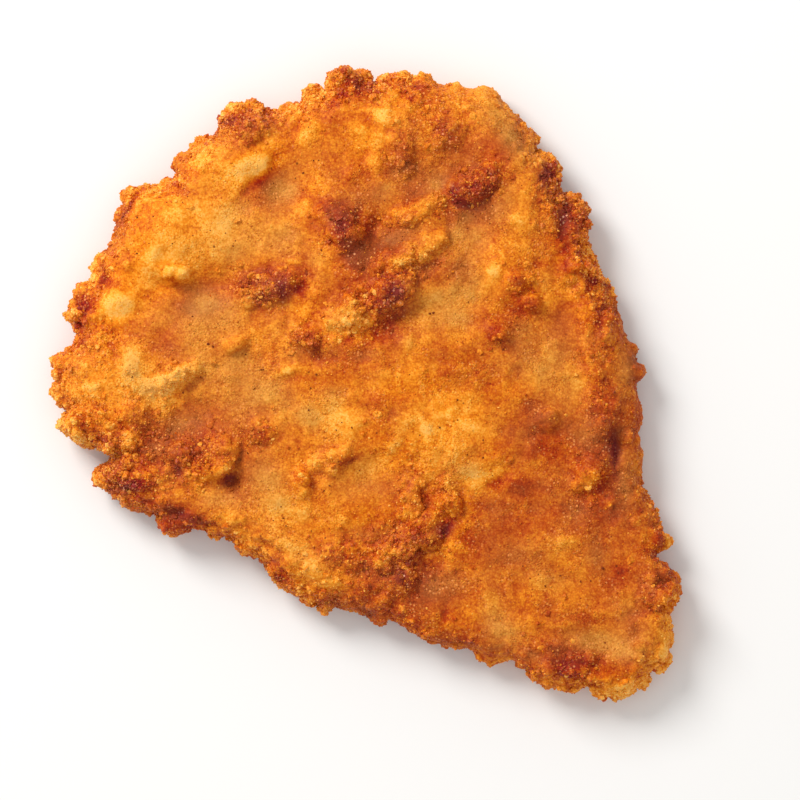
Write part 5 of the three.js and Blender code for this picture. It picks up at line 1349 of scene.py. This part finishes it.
# %% Helpers for node trees
def node(tree, kind, **values):
    """Adds a node and sets its fields and sockets by name."""
    made = tree.nodes.new(kind)
    for name, value in values.items():
        if hasattr(made, name):
            setattr(made, name, value)
        else:
            made.inputs[name.replace("_", " ")].default_value = value
    return made


def maths(tree, operation, a, b, c=None):
    """A Math node whose inputs are numbers or other nodes' outputs."""
    made = tree.nodes.new("ShaderNodeMath")
    made.operation = operation
    for socket, value in zip(made.inputs, (a, b, c)):
        if value is None:
            continue
        if isinstance(value, (int, float)):
            socket.default_value = value
        else:
            tree.links.new(value, socket)
    return made.outputs[0]


def mixed(tree, share, a, b):
    """A Mix node for colours. Share, a and b are values or outputs."""
    made = tree.nodes.new("ShaderNodeMix")
    made.data_type = "RGBA"
    for socket, value in ((made.inputs[0], share), (made.inputs[6], a), (made.inputs[7], b)):
        if isinstance(value, bpy.types.NodeSocket):
            tree.links.new(value, socket)
        else:
            socket.default_value = value
    return made.outputs[2]


def ramped(tree, value, low, high, at_low, at_high):
    """A Map Range node: at_low where the value is low, at_high where it is high, straight between."""
    made = node(tree, "ShaderNodeMapRange", From_Min=low, From_Max=high, To_Min=at_low, To_Max=at_high)
    tree.links.new(value, made.inputs["Value"])
    return made.outputs[0]


def parts_of(tree, colour):
    """The red, green and blue parts of a colour, used as three plain numbers."""
    made = tree.nodes.new("ShaderNodeSeparateColor")
    tree.links.new(colour, made.inputs[0])
    return made.outputs


def pattern(tree, place, kind, **values):
    """A texture on the given coordinates. Its scale is in waves or cells a metre."""
    made = node(tree, kind, **values)
    tree.links.new(place, made.inputs["Vector"])
    return made


def fry_ramp(tree, share):
    """The colour of frying at a browning of 0 to 1, blended straight between the listed colours."""
    made = tree.nodes.new("ShaderNodeValToRGB")
    ramp = made.color_ramp
    while len(ramp.elements) < len(FRY_RAMP):
        ramp.elements.new(0.5)
    for element, (place, colour) in zip(ramp.elements, FRY_RAMP):
        element.position = place
        element.color = colour
    tree.links.new(share, made.inputs[0])
    return made.outputs[0]


# %% What the crust's colour is made from
NOISE, CELLS = "ShaderNodeTexNoise", "ShaderNodeTexVoronoi"
PATCHY = (0.46, 0.58)  # the patches' noise goes from smooth to rough batter between these values
PATCH_ROUGH = 0.7  # how rough a rough patch is
CRAG_ROUGH = 0.65  # and how much rougher a crag is


def crust_sockets(tree):
    """What colour and bump are worked out from: the mesh's four numbers, the patterns and the roughness."""
    place = tree.nodes.new("ShaderNodeTexCoord").outputs["Object"]
    fry_and_shade = node(tree, "ShaderNodeAttribute", attribute_name="fry_and_shade")
    brown_and_shade, pale, plum_shade = parts_of(tree, fry_and_shade.outputs["Color"])
    craggy = fry_and_shade.outputs["Alpha"]
    grit = pattern(tree, place, CELLS, Scale=2100.0, Randomness=1.0)
    grains = pattern(tree, place, CELLS, Scale=1500.0, Randomness=1.0)
    glint_cells = pattern(tree, place, CELLS, Scale=1400.0, Randomness=1.0)
    pepper = pattern(tree, place, CELLS, Scale=330.0, Randomness=1.0)
    fleck = pattern(tree, place, NOISE, Scale=420.0, Detail=4.0, Roughness=0.65).outputs[0]
    sand = pattern(tree, place, NOISE, Scale=3000.0, Detail=2.0, Roughness=0.6).outputs[0]
    patches = pattern(tree, place, NOISE, Scale=170.0, Detail=2.0).outputs[0]
    rough = ramped(tree, patches, *PATCHY, 0.0, PATCH_ROUGH)
    rough = maths(tree, "ADD", rough, maths(tree, "MULTIPLY", craggy, CRAG_ROUGH))
    return SimpleNamespace(
        brown_and_shade=brown_and_shade, pale=pale, plum_shade=plum_shade, craggy=craggy, rough=rough, fleck=fleck, sand=sand,
        grit=grit.outputs["Distance"],
        grains=grains.outputs["Distance"], own=parts_of(tree, grains.outputs["Color"]),
        glint_cells=glint_cells.outputs["Distance"], glint_cell_own=parts_of(tree, glint_cells.outputs["Color"]),
        pepper=pepper.outputs["Distance"], pepper_own=parts_of(tree, pepper.outputs["Color"]),
    )


# %% Grain by grain along the ramp
GRIT_SHADE_SHIFT = 0.26  # how far the grit moves a spot along the ramp: browner in the gaps between grains, a painted shade, and yellower on their tops, a painted light
OWN_SHIFT = 0.16  # and how far a grain's own number does
PAPRIKA_SIZE = 0.26  # radius of a fleck, in cells
PAPRIKA_SHARE = 0.14  # share of the grains that have one
PAPRIKA_SHIFT = 0.22


def ramp_shift(tree, use):
    """How far a spot is moved along the ramp: by grit, which paints shade in the gaps between grains and
    light on their tops, and by its grain, sand, paprika and flecks.
    """
    shift = maths(tree, "MULTIPLY_ADD", use.grit, GRIT_SHADE_SHIFT, -GRIT_SHADE_SHIFT / 2)
    shift = maths(tree, "ADD", shift, maths(tree, "MULTIPLY_ADD", use.own[0], OWN_SHIFT, -OWN_SHIFT / 2))
    sandy = maths(tree, "MULTIPLY_ADD", use.rough, 0.6, 0.08)
    shift = maths(tree, "MULTIPLY_ADD", maths(tree, "SUBTRACT", use.sand, 0.5), sandy, shift)
    paprika = maths(tree, "LESS_THAN", use.grains, PAPRIKA_SIZE)
    paprika = maths(tree, "MULTIPLY", paprika, maths(tree, "LESS_THAN", use.own[2], PAPRIKA_SHARE))
    shift = maths(tree, "MULTIPLY_ADD", paprika, PAPRIKA_SHIFT, shift)
    flecked = maths(tree, "MULTIPLY_ADD", use.fleck, 1.0, -0.5)
    flecked = maths(tree, "MULTIPLY", flecked, maths(tree, "MULTIPLY_ADD", use.craggy, 0.3, 0.32))
    return maths(tree, "ADD", shift, flecked)


def batter_colour(tree, use):
    """The ramp's colour at browning plus shift, faded to tan where pale and to the painted plum shade in
    pockets.
    """
    shift = ramp_shift(tree, use)
    tan = mixed(tree, maths(tree, "MULTIPLY_ADD", shift, 2.2, 0.45), TAN_LIGHT, TAN_DARK)
    fried = fry_ramp(tree, maths(tree, "ADD", use.brown_and_shade, shift))
    colour = mixed(tree, maths(tree, "MULTIPLY", use.pale, 0.8), fried, tan)
    return mixed(tree, use.plum_shade, colour, PAINTED_PLUM_SHADE)


# %% Tips, glints and specks
TIP_OVER = 0.3  # grains whose own number is over this have a raised tip with a painted highlight
GLINT_OVER = 0.68  # and glint cells whose own number is over this get a painted glint
PEPPER_SHARE = 0.16  # cells with an own number under this hold a speck
PEPPER_DARK = 0.7


def grain_tips(tree, use):
    """1 on the tips of most grains and 0 between them."""
    tip = ramped(tree, use.grains, 0.42, 0.15, 0.0, 1.0)
    return maths(tree, "MULTIPLY", tip, maths(tree, "GREATER_THAN", use.own[1], TIP_OVER))


def with_painted_glints(tree, use, colour):
    """Painted glints: small light spots of colour on rough and browned batter, pinkish in the pockets of
    painted plum shade.
    """
    glint_spot = ramped(tree, use.glint_cells, 0.42, 0.24, 0.0, 1.0)
    glint_spot = maths(tree, "MULTIPLY", glint_spot, maths(tree, "GREATER_THAN", use.glint_cell_own[0], GLINT_OVER))
    glint = maths(tree, "MULTIPLY", maths(tree, "MULTIPLY_ADD", use.brown_and_shade, 0.6, 0.22), use.rough)
    glint_colour = mixed(tree, use.plum_shade, PAINTED_GLINT_COLOUR, PAINTED_PINK_GLINT)
    return mixed(tree, maths(tree, "MULTIPLY", glint_spot, glint), colour, glint_colour)


def with_pepper(tree, use, colour):
    """Tiny dark specks of different widths in a few cells."""
    widest = maths(tree, "MULTIPLY_ADD", use.pepper_own[1], 0.07, 0.03)
    speck = maths(tree, "LESS_THAN", use.pepper, widest)
    speck = maths(tree, "MULTIPLY", speck, maths(tree, "LESS_THAN", use.pepper_own[0], PEPPER_SHARE))
    return mixed(tree, maths(tree, "MULTIPLY", speck, PEPPER_DARK), colour, PEPPER)


# %% The crust's shader
BUMP_HEIGHT = 0.0002  # metres


def grain_bump(tree, use, tip):
    """Normals of the height of tips, grit and sand, strongest on rough batter."""
    height = maths(tree, "MULTIPLY_ADD", tip, 0.8, maths(tree, "MULTIPLY", use.grit, -0.6))
    height = maths(tree, "ADD", height, maths(tree, "MULTIPLY", use.sand, 0.5))
    bump = node(tree, "ShaderNodeBump", Distance=BUMP_HEIGHT)
    tree.links.new(maths(tree, "MULTIPLY_ADD", use.rough, 0.85, 0.12), bump.inputs["Strength"])
    tree.links.new(height, bump.inputs["Height"])
    return bump.outputs[0]


def crust_material(name, gloss, roughness):
    """Fried batter. Gloss is how much shinier a crag is than smooth batter."""
    paint = bpy.data.materials.new(name)
    paint.use_nodes = True
    tree = paint.node_tree
    shader = tree.nodes["Principled BSDF"]
    use = crust_sockets(tree)
    tip = grain_tips(tree, use)
    # Painted highlight: the tips of grains are made lighter in colour, more on crags.
    tip_highlight = maths(tree, "MULTIPLY", tip, maths(tree, "MULTIPLY_ADD", use.craggy, 0.3, 0.08))
    colour = mixed(tree, tip_highlight, batter_colour(tree, use), PAINTED_TIP_HIGHLIGHT)
    colour = with_pepper(tree, use, with_painted_glints(tree, use, colour))
    tree.links.new(colour, shader.inputs["Base Color"])
    tree.links.new(grain_bump(tree, use, tip), shader.inputs["Normal"])
    tree.links.new(maths(tree, "MULTIPLY_ADD", use.craggy, gloss, 0.05), shader.inputs["Specular IOR Level"])
    shader.inputs["Roughness"].default_value = roughness
    shader.inputs["Subsurface Weight"].default_value = 0.15
    shader.inputs["Subsurface Radius"].default_value = (1.0, 0.4, 0.12)
    shader.inputs["Subsurface Scale"].default_value = 0.0007
    return paint


fried_crust = crust_material("fried_crust", 0.08, 0.5)
crisp_grains = crust_material("crisp_grains", 0.2, 0.4)


# %% The pepper's material
PEPPER_DARKEST = srgb(96, 34, 14)
PEPPER_LIGHTEST = srgb(140, 66, 28)


def pepper_material(name):
    """Matt dark brown, lighter and darker by a noise finer than a speck."""
    paint = bpy.data.materials.new(name)
    paint.use_nodes = True
    tree = paint.node_tree
    shader = tree.nodes["Principled BSDF"]
    place = tree.nodes.new("ShaderNodeTexCoord").outputs["Object"]
    noise = pattern(tree, place, NOISE, Scale=2500.0, Detail=2.0)
    colour = mixed(tree, noise.outputs[0], PEPPER_DARKEST, PEPPER_LIGHTEST)
    tree.links.new(colour, shader.inputs["Base Color"])
    shader.inputs["Roughness"].default_value = 0.7
    shader.inputs["Specular IOR Level"].default_value = 0.1
    return paint


charred_pepper = pepper_material("charred_pepper")
crust.data.materials.append(fried_crust)
crust.data.shade_smooth()
print("materials", fried_crust.name, crisp_grains.name, charred_pepper.name)

# %% [markdown]
# ## Loose grains of crust
# Over the skin lie thousands of grains of fried flour, from coarse crumbs to ones like sugar. They give the
# crags their sparkle, partly real glints on their flat faces and partly painted glints on a share of grains
# coloured lighter, and break the outline. Each kind is one joined mesh of small dented balls, strewn on the
# skin's own points, thick where the crust is craggy, and each grain takes the browning and painted shade of
# its place.

# %% Strewing grains on the skin
GRAIN_SHARE = 1.0
LEAST_HEIGHT = 1.5  # grains lie on points that are higher than this
FLOOR_GAP = 1.4  # a grain's middle is at least this many radii over the table
GRAIN_DENT = 0.3
GLINT_LIGHTENING = 0.55  # share of its browning that a grain painted lighter as a glint loses
GRAIN_PLUM_SHADE = 0.7  # share of the skin's painted plum shade that a grain takes
OWN_BROWN = (-0.02, 0.11)  # mean and spread of a grain's own browning

# Kinds of grain: name, count, least and most radius, detail of the ball, how strongly they keep to crags,
# how far the middle lies over the skin as a share of the radius, and share painted lighter as glints.
GRAIN_KINDS = [
    ("chunky_crumbs", 2000, 0.45, 0.9, 2, 2.3, -0.5, 0.0),
    ("coarse_crumbs", 2300, 0.28, 0.55, 2, 2.6, -0.25, 0.1),
    ("fine_crumbs", 9600, 0.14, 0.27, 1, 1.4, 0.0, 0.22),
    ("sugary_grains", 9600, 0.10, 0.18, 1, 1.3, 0.1, 0.3),
]


def joined_balls(name, points, faces, fry_and_shade, paint):
    """One piece of dented balls, each with its own row of four numbers, and flat faces that glint."""
    piece = new_object(name, mesh_from_arrays(name, points, faces))
    keep_numbers(piece.data, "fry_and_shade", np.repeat(fry_and_shade, len(points) // len(fry_and_shade), axis=0))
    piece.data.materials.append(paint)
    piece.data.shade_flat()
    print(name, len(fry_and_shade), "grains,", len(faces), "triangles")
    return piece


def strew_grains(name, full_count, radius_low, radius_high, detail, craggy_power, lift, glint_share):
    """Grains on randomly chosen points of the skin. A point's chance is its crumbliness to a power. A grain
    is as browned as its point, less where it is painted lighter as a glint, plus its own bit."""
    count = int(full_count * GRAIN_SHARE)
    points, normals = read_points(crust.data), read_normals(crust.data)
    weight = crumbliness(points[:, 0], points[:, 1]) ** craggy_power
    weight = weight * (points[:, 2] > LEAST_HEIGHT)
    chosen = random.choice(len(points), count, replace=False, p=weight / weight.sum())
    radii = random.uniform(radius_low, radius_high, count)
    centres = points[chosen] + normals[chosen] * (lift * radii)[:, None]
    centres[:, 2] = np.maximum(centres[:, 2], FLOOR_GAP * radii)
    balls = scattered_balls(centres, radii, detail, GRAIN_DENT)
    fry_and_shade = crust_fry_and_shade[chosen]
    fry_and_shade[:, 0] *= 1 - GLINT_LIGHTENING * (random.uniform(0, 1, count) < glint_share)
    fry_and_shade[:, 0] += random.normal(*OWN_BROWN, count)
    fry_and_shade[:, 2] *= GRAIN_PLUM_SHADE
    return joined_balls(name, *balls, np.clip(fry_and_shade, 0, 1), crisp_grains)


strewn = [strew_grains(*kind) for kind in GRAIN_KINDS]

# %% [markdown]
# Two kinds of grain are noticed one by one, so each has its own place: specks of pepper, which fry dark
# brown in the oil, and single crumbs on dark crags, coloured lighter than the crust there as painted glints.

# %% Pepper and crumbs with painted glints
# Specks of pepper: x, y, and radius in hundredths of a millimetre.
PEPPER_SPECKS = np.array([
    (-43, 39.5, 17), (-39.8, 39.8, 17), (-49.5, 28.7, 27), (-52.9, 28.6, 20), (-46.3, 36.5, 17),
    (-33.5, 33.5, 17), (-30.5, 33.2, 17), (-28, 31.3, 20), (-28.8, 30.3, 20), (-49.5, 36.6, 17),
    (-47.1, 31, 17), (-42.2, 30.4, 20), (-37.5, 32.2, 17), (-38.8, 40.8, 17), (-36.9, 50.6, 17),
    (-13.7, 46.3, 34), (-13.4, 42.6, 20), (-11.5, 48.7, 20), (-10.2, 48.9, 20), (-12.4, 56.3, 17),
    (-20.3, 47.2, 17), (-20, 43.8, 17), (-23, 40.9, 17), (-19.8, 40.5, 17), (-15.5, 45.2, 17),
    (22.5, 34.3, 17), (27.4, 35.3, 20), (28, 38.9, 17), (4.3, 40.3, 17), (8, 32.3, 17), (56.3, 4.7, 17),
    (-51, 1.8, 27), (-57.5, 4.1, 17), (-62.9, 6.6, 20), (-37.6, 14.9, 20), (-34.1, 8.8, 34), (-33, 8.4, 24),
    (-22.8, 3.3, 24), (-22.3, 3, 24), (-26.2, 6.6, 24), (-12.2, 2.7, 24), (-10.6, 2, 24), (-30.5, 11.9, 17),
    (-32.4, 13.1, 17), (-9.8, 29, 24), (-36, 1.4, 20), (14.3, 15.4, 27), (14.9, 15.8, 30), (22.5, 17.8, 17),
    (19.6, 15.5, 17), (20.3, 9.2, 17), (10.8, 25.3, 17), (18.7, 21.6, 17), (10, 2, 20), (19.9, -3.2, 20),
    (7.2, 1.6, 17), (30.3, 7.4, 34), (29.5, 9.2, 24), (-25.6, -13.2, 20), (-25.7, -15, 24),
    (-27.5, -21.2, 24), (-27.7, -22.2, 24), (-29, -24.7, 17), (-23.9, -24.8, 20), (-18.2, -26.6, 20),
    (-18, -29.1, 17), (-17.1, -31, 20), (-20.1, -29.6, 17), (-14.9, -33.9, 24), (-19.5, -35.2, 17),
    (-14.5, -36.9, 17), (-10.8, -40.2, 24), (-22.9, -32.9, 20), (-12, -31.8, 17), (-12.4, -5.5, 20),
    (-12.6, -7.1, 17), (-5.2, -8.2, 20), (-3, -9.3, 24), (0.2, -10.3, 20), (2.3, -10.5, 20),
    (-6.2, -10.1, 17), (-1.1, -18.7, 20), (-53, -2.7, 20), (-54.2, -3.9, 17), (-40, -1.9, 20),
    (16.2, -9.6, 24), (12, -11, 17), (19.9, -7.9, 20), (22.4, -15.4, 20), (25.7, -16, 24), (25.9, -12.4, 20),
    (27.7, -19.7, 17), (-8.9, -23.4, 24), (-8, -22, 20), (52.2, -40.2, 34), (55.3, -41.2, 24),
    (47.3, -43.2, 27), (49.3, -43, 24), (39.7, -44.3, 20), (35.8, -42.3, 20), (38, -41.7, 17),
    (42.5, -41.8, 17), (47.3, -47, 17), (52.7, -56.7, 24), (52.9, -57.8, 17), (34.2, -39.5, 17),
    (60.9, -43.2, 20), (63.6, -49.6, 20), (57.7, -0.3, 20), (60, -1.6, 20), (56.8, -10.8, 17),
    (60.7, -58.9, 20), (60.4, -60, 20), (1.3, -44.2, 27),
]) / (1, 1, 100)
# Single crumbs painted lighter as glints, listed likewise.
GLINT_CRUMBS = np.array([
    (-20, 22, 30), (-16.2, 22, 23), (-18, 20.8, 23), (-22.5, 21.1, 34), (-23.4, 20.8, 26), (-19.2, 18.1, 20),
    (-17, 24.6, 23), (-22.3, 24.1, 23), (3.8, 21.3, 30), (1.3, 20.3, 34), (7.4, 21.2, 23), (5.8, 20, 23),
    (8.9, 19.2, 20), (8.1, 22.3, 23), (7.2, 23.3, 23), (4.2, 17.2, 23), (5.1, 16.6, 20), (19, 24.6, 26),
    (-14.2, 10.6, 20), (-10.9, 6.4, 26), (-13.4, 10, 20), (19.3, 3.4, 20), (23.2, 7.4, 23), (17.8, 2, 23),
    (-50.6, -8.4, 26), (-48.7, -8.2, 23), (-48.5, -5.7, 23), (-60, -8.6, 26), (-58.7, -7.4, 23),
    (-58, -8.2, 23), (-51.7, -12, 34), (-41.4, -10.7, 26), (-38.7, -13.7, 23), (-30.4, -9.2, 23),
    (-31.3, -19.7, 26), (-29.9, -19.4, 26), (-28.9, -18.4, 23), (-28.4, -16.3, 23), (-34.3, -18.8, 23),
    (-31.2, -23.6, 23), (-33.8, -27.8, 23), (-26.4, -30, 23), (11.2, -22.6, 30), (10.9, -24, 26),
    (9.9, -26.2, 23), (9, -28.8, 30), (19.2, -22.6, 26), (19.4, -24.2, 26), (18.6, -25.4, 23),
    (15.2, -28.4, 23), (9.6, -31.6, 26), (12.8, -31.4, 26), (8.5, -34, 23), (14.2, -33.6, 23),
    (5.3, -36.6, 34), (3.1, -39.3, 34), (8.9, -42.9, 26), (3, -45, 23), (2.6, -47.8, 38), (-0.8, -48.4, 26),
    (5.4, -47.8, 26), (-3.4, -47.3, 30), (18.1, -50.6, 23), (13, -54, 34), (24.9, -54, 26),
    (25.5, -51.7, 23), (51.3, -3.6, 30), (49.4, -2.6, 34), (49.7, -4.6, 23), (52.4, -9.8, 26),
    (53.1, -10, 23), (53.9, -16.8, 20), (53.8, -18.6, 23), (46.6, -23, 26), (48.9, -22.6, 34),
    (53.5, -26.2, 38), (58.2, -28.7, 30), (54.8, -29.3, 23), (47.3, -31.5, 34), (35, -24.9, 26),
    (40.3, -25.7, 23), (59.6, -25.4, 23), (61, -36.4, 26), (63, -35.5, 23), (56.5, -35, 26),
    (35.9, -37.6, 23), (34.9, -39.8, 23), (66, -52.3, 30), (46.3, -63.7, 30), (40.4, -63.8, 30),
    (38.6, -58.4, 30), (31.4, -60.3, 30), (29.7, -51.7, 23), (59, -53.1, 23), (44.1, -48.2, 23),
    (55.7, -49.8, 26), (58, -9.2, 23), (58.5, -10.8, 23), (40.6, -6.6, 20), (40.4, -9, 20), (38.8, -6, 23),
    (31.4, -1.8, 20), (47, -8.6, 23), (24.4, -19.6, 20), (-40, 24.4, 26), (-42.6, 23.4, 26),
    (-48.4, 19.4, 26), (-33.7, 19.4, 23), (-28.6, 18.2, 23), (-17.6, 15.1, 23), (-21.3, 12.3, 23),
    (-26.4, 15.2, 20), (-44.6, 2.4, 20), (-38, 1, 23), (29.9, 56.4, 20),
]) / (1, 1, 100)
print(len(PEPPER_SPECKS), "specks of pepper,", len(GLINT_CRUMBS), "bright crumbs")

# %% Placing them on the skin
CRUMB_SINK = 0.1  # how far a crumb's middle lies under the skin, as a share of its radius
CRUMB_DENT = 0.4
TOP_FACING = 0.2  # a top point's normal points up by more than this
AS_AROUND = (1, 1, 1, 1)  # a crumb's four numbers, as shares of the skin's
PAINTED_GLINT_SHARES = (0.6, 0, 0, 0.3)  # painted glint: a good half as browned as the crust around it, and never pale or plum-shaded


def place_crumbs(name, places, shares, paint):
    """Puts one small dented ball on the skin at each place, on the point of the top that is nearest to it.
    Its four numbers are those of that point times their shares."""
    points, normals = read_points(crust.data), read_normals(crust.data)
    tops = np.flatnonzero(normals[:, 2] > TOP_FACING)
    offsets = points[tops, None, :2] - places[None, :, :2]
    chosen = tops[np.argmin((offsets**2).sum(axis=2), axis=0)]
    centres = points[chosen] - normals[chosen] * CRUMB_SINK * places[:, 2:]
    balls = scattered_balls(centres, places[:, 2], 1, CRUMB_DENT)
    return joined_balls(name, *balls, crust_fry_and_shade[chosen] * shares, paint)


placed = [
    place_crumbs("pepper_specks", PEPPER_SPECKS, AS_AROUND, charred_pepper),
    place_crumbs("painted_glint_crumbs", GLINT_CRUMBS, PAINTED_GLINT_SHARES, crisp_grains),
]

# %% [markdown]
# ## Hand over
# Every piece rides on the one body of the fillet. The skin and its grains stand for the solid, so the
# solid is hidden. The two boxes are written down for comparing.

# %% Riding and replacing
for piece in [crust, *strewn, *placed]:
    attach(piece, "root")
    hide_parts("fillet")
